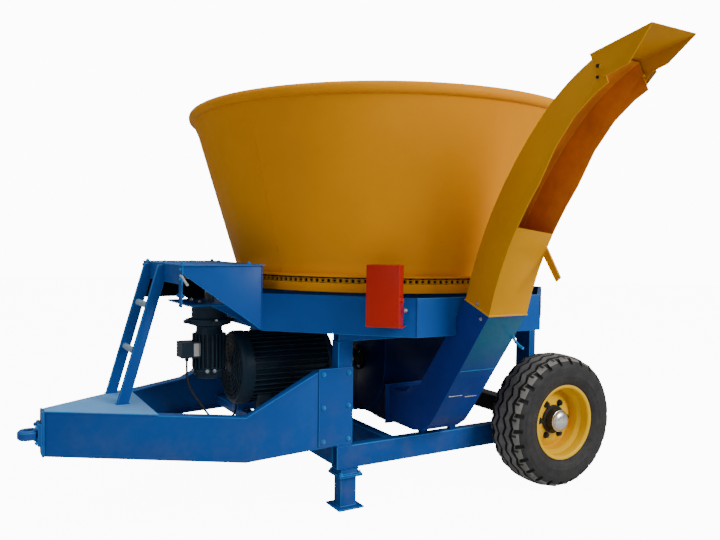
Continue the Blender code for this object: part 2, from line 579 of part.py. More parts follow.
def build_drive_housing(root):
    """Deck, two slanted side panels, fascia with its stay, and the plate that carries the gear motor."""
    rear = -(PAN_INRADIUS + FIT)
    outline = ((HOUSE_FRONT_X, HOUSE_NOSE_Z), (HOUSE_FRONT_X, HOUSE_TOP_Z), (rear, HOUSE_TOP_Z),
               (rear, PAN_BOTTOM_Z + 0.002))
    for name, side in (("left", 1), ("right", -1)):
        outer = side * (HOUSE_HALF_Y - 0.001)
        panel = prism(outline, "Y", *sorted((outer, outer - side * HOUSE_SHEET)))
        finish(panel, f"drive_side_{name}", "blue_paint", root)
    half = HOUSE_HALF_Y + DECK_EDGE
    deck = box((HOUSE_FRONT_X - DECK_EDGE, DECK_REAR_X), (-half, half),
               (HOUSE_TOP_Z + FIT, HOUSE_TOP_Z + FIT + DECK_SHEET))
    finish(deck, "deck_plate", "blue_paint", root)
    front = HOUSE_FRONT_X - FIT
    fascia = box((front - HOUSE_SHEET, front), (-HOUSE_HALF_Y, HOUSE_HALF_Y), (FASCIA_BOTTOM_Z, HOUSE_TOP_Z))
    stay = box((front - HOUSE_SHEET - 0.002, front - 0.001),
               (STAY_Y - STAY_WIDTH / 2, STAY_Y + STAY_WIDTH / 2), (STAY_BOTTOM_Z, FASCIA_BOTTOM_Z + 0.03))
    pin = rod(STAY_PIN_R, "Y", STAY_Y - STAY_PIN_HALF, STAY_Y + STAY_PIN_HALF,
              (front - HOUSE_SHEET, STAY_BOTTOM_Z + STAY_PIN_RISE), 12)
    finish(fuse(fascia, stay, pin), "drive_fascia", "blue_paint", root)
    plate = box((MOTOR_PLATE_FRONT_X, rear), (-MOTOR_PLATE_HALF_Y, MOTOR_PLATE_HALF_Y),
                (MOTOR_PLATE_Z, MOTOR_PLATE_Z + MOTOR_PLATE))
    gussets = []
    for side in (-1, 1):
        y = side * (MOTOR_PLATE_HALF_Y - GUSSET_INSET)
        gussets.append(prism(((rear, MOTOR_PLATE_Z + 0.001), (rear, PAN_BOTTOM_Z + GUSSET_INSET),
                              (rear - GUSSET_REACH, MOTOR_PLATE_Z + 0.001)), "Y", y - GUSSET_HALF,
                             y + GUSSET_HALF))
    hole = rod(SPROCKET_SHAFT_R + 0.010, "Z", MOTOR_PLATE_Z - 0.02, MOTOR_PLATE_Z + 0.03, (SPROCKET_X, 0), 20)
    finish(cut(fuse(plate, *gussets), hole), "motor_plate", "blue_paint", root)


def build_gear_motor(root):
    """Flange, worm housing with ears, finned motor and terminal box under the motor plate."""
    top = MOTOR_PLATE_Z - FIT
    rows = [(r, top - drop) for r, drop in GEAR_PROFILE]
    body = turned([(0.0, top)] + rows + [(0.0, rows[-1][1])], 20, centre=(SPROCKET_X, 0), ring=False)
    recess = rod(SPROCKET_SHAFT_R + PIN_PLAY, "Z", top - SPROCKET_SHAFT_DROP, top + 0.02, (SPROCKET_X, 0), 20)
    ear_z = [top - drop for drop in GEAR_EAR_DROP]
    ears = [box((SPROCKET_X - a, SPROCKET_X + a), (-b, b), ear_z)
            for a, b in ((GEAR_EAR, GEAR_EAR_HALF), (GEAR_EAR_HALF, GEAR_EAR))]
    fins = []
    for k in range(GEAR_MOTOR_FINS):
        fin = box(GEAR_FIN_R, (-GEAR_FIN_HALF, GEAR_FIN_HALF), [top - drop for drop in GEAR_FIN_DROP])
        turn = 360 * (k + 0.5) / GEAR_MOTOR_FINS
        fins.append(move(fin, Matrix.Translation((SPROCKET_X, 0, 0)) @ station_matrix(turn)))
    terminal = box([SPROCKET_X + x for x in GEAR_TERMINAL_X], (-GEAR_TERMINAL_HALF_Y, GEAR_TERMINAL_HALF_Y),
                   [top - drop for drop in GEAR_TERMINAL_DROP])
    low = top - GEAR_TERMINAL_DROP[0]
    gland = rod(GLAND_R, "Z", low - GLAND_LENGTH, low + 0.002, CABLE_ROUTE[0][:2], GLAND_SIDES)
    finish(cut(fuse(body, *ears, *fins, terminal, gland), recess), "gear_motor", "motor_paint", root)


def build_main_motor(root):
    """Finned motor with cowl, end bell, feet and terminal box, one block inside."""
    outline = []
    for k in range(MOTOR_FINS):
        step = 2 * math.pi / MOTOR_FINS
        for share, radius in ((-0.24, MOTOR_R), (-0.18, MOTOR_R + MOTOR_FIN), (0.18, MOTOR_R + MOTOR_FIN),
                              (0.24, MOTOR_R)):
            turn = (k + share) * step
            outline.append((radius * math.cos(turn), SHAFT_Z + radius * math.sin(turn)))
    body = prism(outline, "X", *MOTOR_BODY_X)
    cowl_r = MOTOR_R + MOTOR_FIN + COWL_PROUD
    front, rear = MOTOR_BODY_X
    cowl = turned(((0.0, MOTOR_COWL_X), (cowl_r - COWL_ROUND, MOTOR_COWL_X),
                   (cowl_r, MOTOR_COWL_X + COWL_ROUND), (cowl_r, front + COWL_LAP), (0.0, front + COWL_LAP)),
                  24, "X", (0, SHAFT_Z), ring=False)
    bell = turned(((0.0, rear - BELL_LAP), (cowl_r, rear - BELL_LAP), (cowl_r, rear + BELL_RIM),
                   (BELL_NECK_R, MOTOR_BELL_X - BELL_NECK), (BELL_NECK_R, MOTOR_BELL_X), (0.0, MOTOR_BELL_X)),
                  24, "X", (0, SHAFT_Z), ring=False)
    socket = rod(SHAFT_R + PIN_PLAY, "X", MOTOR_BELL_X - SHAFT_SOCKET, MOTOR_BELL_X + 0.02, (0, SHAFT_Z), 20)
    feet = [box(x, (side * MOTOR_FOOT_Y[0], side * MOTOR_FOOT_Y[1]), (MOTOR_FOOT_Z, SHAFT_Z - MOTOR_FOOT_UNDER))
            for x in MOTOR_FOOT_X for side in (-1, 1)]
    terminal = box(MOTOR_TERMINAL_X, MOTOR_TERMINAL_Y, [SHAFT_Z + rise for rise in MOTOR_TERMINAL_RISE])
    front = MOTOR_TERMINAL_X[0]
    gland = rod(GLAND_R, "X", front - GLAND_LENGTH, front + 0.002, CABLE_ROUTE[-1][1:], GLAND_SIDES)
    finish(cut(fuse(body, cowl, bell, *feet, terminal, gland), socket), "main_motor", "motor_paint", root)


def smooth_route(points, step):
    """Points about a step apart on a smooth curve through the route's points."""
    path = [Vector(point) for point in points]
    path = [path[0] * 2 - path[1]] + path + [path[-1] * 2 - path[-2]]
    dense = []
    parts = 12
    for a, b, c, d in zip(path, path[1:], path[2:], path[3:]):
        for t in (k / parts for k in range(parts)):
            bend = (c - a) * t + (a * 2 - b * 5 + c * 4 - d) * t ** 2 + (b * 3 - a - c * 3 + d) * t ** 3
            dense.append(b + bend / 2)
    dense.append(path[-2])
    length = sum((b - a).length for a, b in zip(dense, dense[1:]))
    spacing = length / round(length / step)
    taken, walked = [dense[0]], 0.0
    for a, b in zip(dense, dense[1:]):
        walked += (b - a).length
        if walked >= spacing * len(taken) - 1e-6:
            taken.append(b)
    taken[-1] = dense[-1]
    return taken


def build_motor_cable(root):
    """Round cable on a smooth curve through its route."""
    points = smooth_route(CABLE_ROUTE, CABLE_STEP)
    curve = bpy.data.curves.new("motor_cable", "CURVE")
    curve.dimensions = "3D"
    curve.bevel_depth = CABLE_R
    curve.bevel_resolution = 2
    curve.use_fill_caps = True
    spline = curve.splines.new("POLY")
    spline.points.add(len(points) - 1)
    for knot, point in zip(spline.points, points):
        knot.co = (*point, 1.0)
    curve.materials.append(paint("rubber"))
    cable = bpy.data.objects.new("motor_cable", curve)
    bpy.context.collection.objects.link(cable)
    cable.parent = root


def build_motor_base(root):
    """Two cross beams between the drawbar sides, with two rails on them under the motor's feet."""
    inner = FRAME_HALF_Y - DRAWBAR_WALL - FIT
    seat = MOTOR_FOOT_Z - RAIL_HEIGHT
    pieces = [tube(x, (-inner, inner), MOTOR_BEAM_Z, "Y") for x in MOTOR_BEAM_X]
    for side in (-1, 1):
        rail = box(MOTOR_RAIL_X, (side * RAIL_Y[0], side * RAIL_Y[1]), (seat, MOTOR_FOOT_Z - FIT))
        pieces.append(rail)
    finish(fuse(*pieces), "motor_base", "blue_paint", root)


def spout_collar(low, high):
    """Flat collar round the spout between two places along Y."""
    return box((DUCT_X[0] - SPOUT_COLLAR, DUCT_X[1] + SPOUT_COLLAR), (low, high),
               (SPOUT_Z[0] - SPOUT_COLLAR, SPOUT_Z[1] + SPOUT_COLLAR))


def build_mill(root):
    """Trough under the floor's slot with end walls, top flange and the spout to the discharge duct."""
    top = PAN_BOTTOM_Z + PAN_SHEET

    def trough(radius, high):
        arc = [(radius * math.cos(t), SHAFT_Z + radius * math.sin(t))
               for t in (math.pi + math.pi * k / 20 for k in range(21))]
        return arc + [(radius, high), (-radius, high)]

    outside = prism(trough(MILL_R + MILL_SHEET, top), "X", MILL_X[0] - MILL_SHEET, MILL_X[1] + MILL_SHEET)
    edge = MILL_R + MILL_SHEET + MILL_FLANGE
    flange = box((MILL_X[0] - MILL_SHEET - MILL_FLANGE, MILL_X[1] + MILL_SHEET + MILL_FLANGE), (-edge, edge),
                 (top - MILL_FLANGE_SHEET, top))
    spout = box((DUCT_X[0] - 0.001, DUCT_X[1] + 0.001), (SPOUT_END_Y, -0.02), SPOUT_Z)
    collar = spout_collar(SPOUT_END_Y, SPOUT_END_Y + SPOUT_COLLAR_SHEET)
    inside = prism(trough(MILL_R, top + 0.02), "X", *MILL_X)
    duct_room = box((DUCT_X[0] + DUCT_SHEET, DUCT_X[1] - DUCT_SHEET), (SPOUT_END_Y - 0.02, -0.06),
                    (SPOUT_Z[0] + DUCT_SHEET, SPOUT_Z[1] - DUCT_SHEET))
    bore = rod(SHAFT_R + MILL_BORE_PLAY, "X", MILL_X[0] - 0.05, MILL_X[1] + 0.05, (0, SHAFT_Z), 20)
    housing = cut(fuse(outside, flange, spout, collar), inside, duct_room, bore)
    finish(housing, "mill_housing", "blue_paint", root)
    seats = (("front", MILL_X[0] - MILL_SHEET - FIT - BEARING_DEPTH), ("rear", MILL_X[1] + MILL_SHEET + FIT))
    for name, x in seats:
        bore_r = SHAFT_R + PIN_PLAY
        low, high = x, x + BEARING_DEPTH
        flange_face = (low, low + BEARING_FLANGE) if name == "rear" else (high - BEARING_FLANGE, high)
        neck = (flange_face[1], high) if name == "rear" else (low, flange_face[0])
        plate = turned(((bore_r, flange_face[0]), (BEARING_R, flange_face[0]), (BEARING_R, flange_face[1]),
                        (bore_r, flange_face[1])), 20, "X", (0, SHAFT_Z))
        body = turned(((bore_r, neck[0] - 0.002), (BEARING_NECK_R, neck[0] - 0.002),
                       (BEARING_NECK_R, neck[1] + 0.002), (bore_r, neck[1] + 0.002)), 20, "X", (0, SHAFT_Z))
        finish(fuse(plate, body), f"rotor_bearing_{name}", "black_paint", root)


def build_rotor(carrier):
    """Shaft, hammer discs, hammers and fan blades about the rotor's own axis, and the coupling on the shaft."""
    shaft = rod(SHAFT_R, "X", MOTOR_BELL_X - SHAFT_SOCKET + 0.002,
                MILL_X[1] + MILL_SHEET + BEARING_DEPTH + SHAFT_END, (0, 0), 20)
    pieces = []
    for row, x in enumerate(DISC_X):
        pieces.append(rod(DISC_R, "X", x - DISC_THICKNESS / 2, x + DISC_THICKNESS / 2, (0, 0), 20))
        for k in range(HAMMERS_PER_DISC):
            hammer = box((x + DISC_THICKNESS / 2 - 0.001, x + DISC_THICKNESS / 2 + HAMMER_THICKNESS),
                         (-HAMMER_WIDTH / 2, HAMMER_WIDTH / 2), (HAMMER_ROOT_R, HAMMER_TIP_R))
            turn = 2 * math.pi * (k / HAMMERS_PER_DISC + row / (len(DISC_X) * HAMMERS_PER_DISC))
            pieces.append(move(hammer, Matrix.Rotation(turn, 4, "X")))
    for k in range(FAN_BLADES):
        blade = box(FAN_X, (-FAN_BLADE_HALF, FAN_BLADE_HALF), (0.0, FAN_R))
        pieces.append(move(blade, Matrix.Rotation(2 * math.pi * (k + 0.5) / FAN_BLADES, 4, "X")))
    finish(fuse(shaft, *pieces), "mill_rotor", "bare_steel", carrier)
    bore = SHAFT_R + FIT
    waist = (COUPLING_X[0] + COUPLING_X[1]) / 2
    foot = COUPLING_BELT_HALF + COUPLING_SLOPE
    coupling = turned(((bore, COUPLING_X[0]), (COUPLING_HUB_R, COUPLING_X[0]), (COUPLING_HUB_R, waist - foot),
                       (COUPLING_R, waist - COUPLING_BELT_HALF), (COUPLING_R, waist + COUPLING_BELT_HALF),
                       (COUPLING_HUB_R, waist + foot), (COUPLING_HUB_R, COUPLING_X[1]), (bore, COUPLING_X[1])),
                      20, "X", phase=math.pi / 20)
    finish(coupling, "shaft_coupling", "black_paint", carrier)


def duct_sections(inset):
    """Corner pairs (outer low wall, inner high wall) of the duct in the Y-Z plane, from the spout up."""
    low, high = SPOUT_Z[0] + inset, SPOUT_Z[1] - inset
    top_low, top_up = Vector(DUCT_TOP_LOW), Vector(DUCT_TOP_UP)
    across = (top_up - top_low).normalized()
    top_low, top_up = top_low + across * inset, top_up - across * inset
    walls = []
    for rows, foot, way in ((ELBOW_LOW, low, 1), (ELBOW_HIGH, high, -1)):
        wall = [(SPOUT_END_Y, foot)] + [(DUCT_ELBOW_Y - out, foot + rise) for out, rise in rows[:-1]]
        out, rise = rows[-1]
        lean_y, lean_z = (way * inset * share for share in ELBOW_LEAN)
        wall.append((DUCT_ELBOW_Y - out + lean_y, foot - way * inset + rise + lean_z))
        walls.append(wall)
    return list(zip(*walls)) + [(tuple(top_low), tuple(top_up))]


def duct_shell(sections, inset_x):
    """Loft the duct's rectangular sections."""
    x0, x1 = DUCT_X[0] + inset_x, DUCT_X[1] - inset_x
    return solid_from([[(x0, low[0], low[1]), (x1, low[0], low[1]), (x1, high[0], high[1]),
                        (x0, high[0], high[1])] for low, high in sections])


def extended(sections, start, end):
    """The same sections with both ends drawn out, for a cutter."""
    first = [tuple(Vector(p) + Vector((start, 0))) for p in sections[0]]
    before, last = sections[-2], sections[-1]
    run = (Vector(last[0]) - Vector(before[0])).normalized() * end
    final = [tuple(Vector(p) + run) for p in last]
    return [tuple(first)] + sections[1:-1] + [tuple(last), tuple(final)]


def build_duct(root):
    """Sheet duct from the mill's spout, round an elbow and up to the chute's flange, with collar and feet."""
    start = SPOUT_END_Y - FIT
    low, high = SPOUT_Z
    outer = [((start, low), (start, high))] + duct_sections(0.0)[1:]
    inner = [((start, low + DUCT_SHEET), (start, high - DUCT_SHEET))] + duct_sections(DUCT_SHEET)[1:]
    shell = duct_shell(outer, 0.0)
    room = duct_shell(extended(inner, 0.02, 0.03), DUCT_SHEET)
    collar = spout_collar(start - SPOUT_COLLAR_SHEET, start)
    rim = duct_flange(-1)
    feet = []
    for x in DUCT_FEET_X:
        feet.append(box((x - DUCT_FOOT_HALF, x + DUCT_FOOT_HALF), DUCT_FEET_Y,
                        (BEAM_Z[1] + FIT, SPOUT_Z[0] + 0.003)))
    bracket = box((DUCT_X[1] - 0.004, DUCT_FEET_X[1] + DUCT_FOOT_HALF), DUCT_FEET_Y,
                  (SPOUT_Z[0] - DUCT_BRACKET, SPOUT_Z[0] + 0.004))
    finish(cut(fuse(shell, collar, rim, *feet, bracket), room), "discharge_duct", "blue_paint", root)


def duct_mouth():
    """Corners of the slanted joint in the Y-Z plane, the direction across it and its upward normal."""
    low, up = Vector(DUCT_TOP_LOW), Vector(DUCT_TOP_UP)
    across = (up - low).normalized()
    return low, up, across, Vector((-across.y, across.x))


def duct_flange(side):
    """Flat collar along the slanted joint of duct and chute; side -1 lies under the joint, 1 above it."""
    low, up, across, normal = duct_mouth()
    a, b = low - across * DUCT_FLANGE, up + across * DUCT_FLANGE
    near = normal * (FIT if side > 0 else 0.0)
    far = normal * (DUCT_FLANGE_SHEET * side)
    outline = [tuple(a + near), tuple(b + near), tuple(b + far), tuple(a + far)]
    return prism(outline, "X", DUCT_X[0] - DUCT_FLANGE, DUCT_X[1] + DUCT_FLANGE)


def chute_line(offset):
    """Points of the chute's outer wall moved inwards by an offset, with the angle of each from upright."""
    points = []
    y, z = DUCT_TOP_UP
    for number, (start, end, radius) in enumerate(CHUTE_ARCS):
        first, last = math.radians(start), math.radians(end)
        turns = [first + (last - first) * k / CHUTE_STEPS for k in range(min(number, 1), CHUTE_STEPS + 1)]
        if number == 0:
            turns = sorted(turns + [math.radians(CHUTE_CLOSED_TO), math.radians(CHUTE_CLOSED_TO + 0.4)])
        for turn in turns:
            wall_y = y - radius * (math.cos(first) - math.cos(turn))
            wall_z = z + radius * (math.sin(turn) - math.sin(first))
            points.append((wall_y - math.cos(turn) * offset, wall_z - math.sin(turn) * offset,
                           math.degrees(turn)))
        y -= radius * (math.cos(first) - math.cos(last))
        z += radius * (math.sin(last) - math.sin(first))
    return points


def chute_end():
    """End point of the chute's outer wall and its angle from upright."""
    return chute_line(0.0)[-1]


def pivot_point():
    """Axis of the end deflector in the Y-Z plane."""
    y, z, turn = chute_end()
    turn = math.radians(turn)
    return (y - math.cos(turn) * PIVOT_DROP, z - math.sin(turn) * PIVOT_DROP)


def chute_shell(rows, inset):
    """Loft the chute's rectangular sections; each row is a low point and an upper point."""
    x0, x1 = DUCT_X[0] + inset, DUCT_X[1] - inset
    return solid_from([[(x0, *low), (x1, *low), (x1, *up), (x0, *up)] for low, up in rows])


def build_chute(root):
    """Curved channel, open on its lower side above the closed foot, with flange, lug and pivot holes."""
    low, up, across, normal = duct_mouth()
    low, up = low + normal * FIT, up + normal * FIT
    outer = chute_line(0.0)
    inner = chute_line(CHUTE_DEPTH)
    rows = [(tuple(low), tuple(up))] + [(i[:2], o[:2]) for i, o in zip(inner[1:], outer[1:])]
    shell = chute_shell(rows, 0.0)
    down = normal * -0.03
    start = (low + across * CHUTE_SHEET, up - across * CHUTE_SHEET)
    rows = [tuple(tuple(point + down) for point in start), tuple(tuple(point) for point in start)]
    closed = chute_line(CHUTE_DEPTH - CHUTE_SHEET)
    opened = chute_line(CHUTE_DEPTH + 0.05)
    for k, wall in enumerate(chute_line(CHUTE_SHEET)[1:], start=1):
        edge = closed[k] if wall[2] < CHUTE_CLOSED_TO + 0.2 else opened[k]
        rows.append((edge[:2], wall[:2]))
    turn = math.radians(outer[-1][2])
    ahead = Vector((-math.sin(turn), math.cos(turn))) * 0.03
    rows.append(tuple(tuple(Vector(point) + ahead) for point in rows[-1]))
    room = chute_shell(rows, CHUTE_SHEET)
    foot_y, foot_z = DUCT_TOP_UP
    lug = prism([(foot_y + y, foot_z + z) for y, z in LUG_OUTLINE], "X", DUCT_X[1] - 0.002,
                DUCT_X[1] + LUG_THICKNESS)
    holes = rod(PIVOT_PIN_R + PIN_PLAY, "X", DUCT_X[0] - 0.02, DUCT_X[1] + 0.02, pivot_point(), 16)
    finish(cut(fuse(shell, duct_flange(1), lug), room, holes), "chute", "yellow_paint", root)


def build_deflector(carrier):
    """End cap of the chute about its pivot: roof plate and two cheeks outside the chute, on two pins."""
    angle = math.radians(CAP_TURN)
    along = Vector((-math.sin(angle), math.cos(angle)))
    up = Vector((math.cos(angle), math.sin(angle)))
    roof_low = PIVOT_DROP + CAP_CLEAR

    def at(distance, height):
        point = along * distance + up * height
        return (point.x, point.y)

    x0, x1 = DUCT_X[0] - RUN_GAP, DUCT_X[1] + RUN_GAP
    roof = prism((at(-CAP_OVERLAP, roof_low), at(CAP_LENGTH, roof_low), at(CAP_LENGTH, roof_low + CAP_SHEET),
                  at(-CAP_OVERLAP, roof_low + CAP_SHEET)), "X", x0 - CAP_SHEET, x1 + CAP_SHEET)
    cheek = (at(-CAP_OVERLAP, roof_low + CAP_SHEET), at(-CAP_OVERLAP * 0.6, roof_low - CAP_CHEEK * 0.6),
             at(0.0, roof_low - CAP_CHEEK), at(CAP_FOOT, roof_low - CAP_CHEEK),
             at(CAP_LENGTH - CAP_NOSE, roof_low - CAP_TIP_CHEEK), at(CAP_LENGTH, roof_low + CAP_SHEET))
    left = prism(cheek, "X", x0 - CAP_SHEET, x0)
    right = prism(cheek, "X", x1, x1 + CAP_SHEET)
    proud = CAP_SHEET + CAP_PIN_PROUD
    depth = CHUTE_SHEET + CAP_PIN_INSIDE
    pins = [rod(PIVOT_PIN_R, "X", x0 - proud, DUCT_X[0] + depth, (0, 0), 12),
            rod(PIVOT_PIN_R, "X", DUCT_X[1] - depth, x1 + proud, (0, 0), 12)]
    finish(fuse(roof, left, right, *pins), "chute_deflector", "yellow_paint", carrier)


def drawbar_half_width(x):
    """Outer half width of the drawbar's V at a place along it."""
    (x0, y0, _, _), (x1, y1, _, _) = DRAWBAR_PATH[:2]
    return y0 + (y1 - y0) * (x - x0) / (x1 - x0)


def build_drawbar(root):
    """Two bent channels that open inwards, top plate, nose plate, clamp plates and the tow eye."""
    slope = math.atan2(DRAWBAR_PATH[1][1] - DRAWBAR_PATH[0][1], DRAWBAR_PATH[1][0] - DRAWBAR_PATH[0][0])
    widen = 1 / math.cos(slope)
    mitre = math.tan(slope / 2)
    stations = []
    nose_x, nose_y, nose_low, nose_top = DRAWBAR_PATH[0]
    full_x = nose_x + (DRAWBAR_FLANGE * widen + FIT - nose_y) / math.tan(slope)
    stations.append((nose_x, nose_y, nose_low, nose_top, 0.0, nose_y - DRAWBAR_WALL * widen, FIT))
    full_y = drawbar_half_width(full_x)
    stations.append((full_x, full_y, nose_low, nose_top, 0.0, full_y - DRAWBAR_WALL * widen,
                     full_y - DRAWBAR_FLANGE * widen))
    for number, (x, y, low, top) in enumerate(DRAWBAR_PATH[1:]):
        lean = mitre if number == 0 else 0.0
        stations.append((x, y, low, top, lean, y - DRAWBAR_WALL, y - DRAWBAR_FLANGE))
    for name, side in (("left", 1), ("right", -1)):
        rings = []
        for x, y, low, top, lean, web, flange in stations:
            t = DRAWBAR_WALL
            section = ((y, low), (y, top), (flange, top), (flange, top - t), (web, top - t), (web, low + t),
                       (flange, low + t), (flange, low))
            rings.append([(x + (y - a) * lean, side * a, b) for a, b in section])
        finish(solid_from(rings), f"drawbar_side_{name}", "blue_paint", root)
    half_nose = nose_y + NOSE_OVERHANG
    plate = prism(((nose_x - NOSE_PLATE, half_nose), (nose_x - FIT, half_nose), (nose_x - FIT, -half_nose),
                   (nose_x - NOSE_PLATE, -half_nose)), "Z", nose_low, nose_top + TOP_PLATE)
    finish(plate, "drawbar_nose_plate", "blue_paint", root)
    rear_half = drawbar_half_width(TOP_PLATE_REAR_X)
    top_z = nose_top + FIT
    top = prism(((nose_x, nose_y), (TOP_PLATE_REAR_X, rear_half), (TOP_PLATE_REAR_X, -rear_half),
                 (nose_x, -nose_y)), "Z", top_z, top_z + TOP_PLATE)
    finish(top, "drawbar_top_plate", "blue_paint", root)
    for name, side in (("left", 1), ("right", -1)):
        outer = FRAME_HALF_Y + FIT
        clamp = box(CLAMP_X, (side * outer, side * (outer + CLAMP_PLATE)), CLAMP_Z)
        finish(clamp, f"clamp_plate_{name}", "blue_paint", root)
    eye_x = EYE_TIP_X + EYE_R
    face = nose_x - NOSE_PLATE - FIT
    half = EYE_THICKNESS / 2
    ring = turned(((EYE_HOLE_R, EYE_Z - half), (EYE_HOLE_R, EYE_Z + half), (EYE_R - EYE_ROUND, EYE_Z + half),
                   (EYE_R, EYE_Z + half - EYE_ROUND), (EYE_R, EYE_Z - half + EYE_ROUND),
                   (EYE_R - EYE_ROUND, EYE_Z - half)), 28, centre=(eye_x, 0))
    shank = rod(EYE_SHANK_R, "X", eye_x + EYE_HOLE_R + EYE_ROUND, face - 0.004, (0, EYE_Z), 16)
    pad = box((face - EYE_PLATE, face), (-EYE_PLATE_HALF, EYE_PLATE_HALF),
              (EYE_Z - EYE_PLATE_HALF, EYE_Z + EYE_PLATE_HALF))
    finish(fuse(ring, shank, pad), "tow_eye", "blue_paint", root)


def build_ladder(root):
    """Two flat rails between top plate and fascia, with round rungs."""
    foot_z = DRAWBAR_PATH[0][3] + FIT + TOP_PLATE + FIT
    head_x = HOUSE_FRONT_X - FIT - HOUSE_SHEET - FIT
    head_z = HOUSE_TOP_Z - LADDER_HEAD_DROP
    rise = (head_z - foot_z) / (head_x - LADDER_FOOT_X)
    reach = LADDER_RAIL_WIDTH * math.sqrt(1 + rise * rise) / rise
    outline = ((LADDER_FOOT_X - reach / 2, foot_z), (LADDER_FOOT_X + reach / 2, foot_z),
               (head_x, foot_z + rise * (head_x - LADDER_FOOT_X - reach / 2)), (head_x, head_z),
               (LADDER_FOOT_X - reach / 2 + (head_z - foot_z) / rise, head_z))
    thick = LADDER_RAIL_THICKNESS
    rails = [prism(outline, "Y", LADDER_Y[0], LADDER_Y[0] + thick),
             prism(outline, "Y", LADDER_Y[1] - thick, LADDER_Y[1])]
    rungs = []
    for z in RUNG_Z:
        x = LADDER_FOOT_X + (z - foot_z) / rise
        rungs.append(rod(RUNG_R, "Y", LADDER_Y[0] + 0.004, LADDER_Y[1] - 0.004, (x, z), 12))
    finish(fuse(rails[0], rails[1], *rungs), "ladder", "blue_paint", root)


def build_frame(root):
    """Lower beams, cross members, posts and top rails."""
    inner = FRAME_HALF_Y - BEAM_WIDTH
    top_of_rail = PAN_BOTTOM_Z + PAN_SHEET
    rail_low = top_of_rail - TOP_RAIL_HEIGHT
    for name, side in (("left", 1), ("right", -1)):
        y = (side * inner, side * FRAME_HALF_Y)
        finish(tube(BEAM_X, y, BEAM_Z, "X"), f"lower_beam_{name}", "blue_paint", root)
        finish(tube((POST_X[0], REAR_POST_X[1]), y, (rail_low, top_of_rail), "X"), f"top_rail_{name}",
               "blue_paint", root)
        post_y = (side * (FRAME_HALF_Y - POST_WIDTH), side * FRAME_HALF_Y)
        post = tube(POST_X, post_y, (BEAM_Z[1] + FIT, rail_low - FIT), "Z")
        finish(post, f"front_post_{name}", "blue_paint", root)
        rear_y = (side * (FRAME_HALF_Y - REAR_POST_WIDTH), side * FRAME_HALF_Y)
        axle_top = 2 * WHEEL_R - BEAM_Z[1] - FIT
        rear = tube(REAR_POST_X, rear_y, (axle_top + FIT, rail_low - FIT), "Z")
        finish(rear, f"rear_post_{name}", "blue_paint", root)
    for name, x in zip(("front", "middle"), CROSS_X):
        cross = tube(x, (-inner + FIT, inner - FIT), BEAM_Z, "Y")
        finish(cross, f"cross_member_{name}", "blue_paint", root)
    rear_inner = FRAME_HALF_Y - REAR_POST_WIDTH - FIT
    cross = tube(REAR_POST_X, (-rear_inner, rear_inner), (rail_low - REAR_RAIL_HEIGHT, rail_low - FIT), "Y")
    finish(cross, "rear_cross_rail", "blue_paint", root)


def build_legs(root):
    """Bolted parking legs: stub under the beam, flange, hollow leg and foot plate."""
    for name, side in (("left", 1), ("right", -1)):
        y = side * (FRAME_HALF_Y - LEG_INSET)
        half = LEG_STUB / 2
        stub = box((LEG_X - half, LEG_X + half), (y - half, y + half), (LEG_FLANGE_Z + 0.002, BEAM_Z[0] - FIT))
        plate = LEG_FLANGE_SIZE / 2
        flange = box((LEG_X - plate, LEG_X + plate), (y - plate, y + plate),
                     (LEG_FLANGE_Z - LEG_FLANGE, LEG_FLANGE_Z + 0.004))
        long_half, wide_half = LEG_SIZE[0] / 2, LEG_SIZE[1] / 2
        leg = box((LEG_X - long_half, LEG_X + long_half), (y - wide_half, y + wide_half),
                  (FOOT_PLATE - 0.002, LEG_FLANGE_Z - LEG_FLANGE + 0.002))
        foot = FOOT_SIZE / 2
        pad = box((LEG_X - foot, LEG_X + foot), (y - foot, y + foot), (0.0, FOOT_PLATE))
        finish(fuse(stub, flange, leg, pad), f"parking_leg_{name}", "blue_paint", root)


def build_axle(root):
    """Square axle on the lower beams with a spindle and collar at each end."""
    half = WHEEL_R - BEAM_Z[1] - FIT
    beam = box((WHEEL_X - half, WHEEL_X + half), (-AXLE_END_Y, AXLE_END_Y), (WHEEL_R - half, WHEEL_R + half))
    ends = []
    for side in (-1, 1):
        ends.append(rod(COLLAR_R, "Y", *sorted((side * (AXLE_END_Y - 0.01), side * (WHEEL_Y - COLLAR_GAP))),
                        (WHEEL_X, WHEEL_R), 20))
        ends.append(rod(SPINDLE_R, "Y", *sorted((side * (AXLE_END_Y - 0.005), side * (WHEEL_Y + SPINDLE_OUT))),
                        (WHEEL_X, WHEEL_R), 20))
    finish(fuse(beam, *ends), "axle", "black_paint", root)


# Tyre section rows: radius, distance from the middle plane, share of the lug depth that a groove takes
TYRE_OUTSIDE = (
    (BEAD_SEAT_R, -TYRE_HALF_BEAD, 0.0), (RIM_FLANGE_R + 0.004, -TYRE_HALF_BEAD, 0.0), (0.285, -0.132, 0.0),
    (0.341, -0.119, 1.0), (0.368, -0.088, 1.0), (WHEEL_R, -0.030, 0.35),
    (WHEEL_R, 0.030, 0.35), (0.368, 0.088, 1.0), (0.341, 0.119, 1.0),
    (0.285, 0.132, 0.0), (RIM_FLANGE_R + 0.004, TYRE_HALF_BEAD, 0.0), (BEAD_SEAT_R, TYRE_HALF_BEAD, 0.0),
)


def build_tyre(name, carrier):
    """Tyre with shoulder grooves that alternate from side to side, about the wheel's centre."""
    rings = []
    for k in range(TYRE_SECTORS):
        turn = 2 * math.pi * k / TYRE_SECTORS
        ring = []
        for radius, y, share in TYRE_OUTSIDE:
            groove = k % 4 == (3 if y < 0 else 1)
            r = radius - (LUG_DEPTH * share if groove else 0.0)
            ring.append((r * math.cos(turn), y, r * math.sin(turn)))
        rings.append(ring)
    finish(solid_from(rings, wrap=True), name, "rubber", carrier)


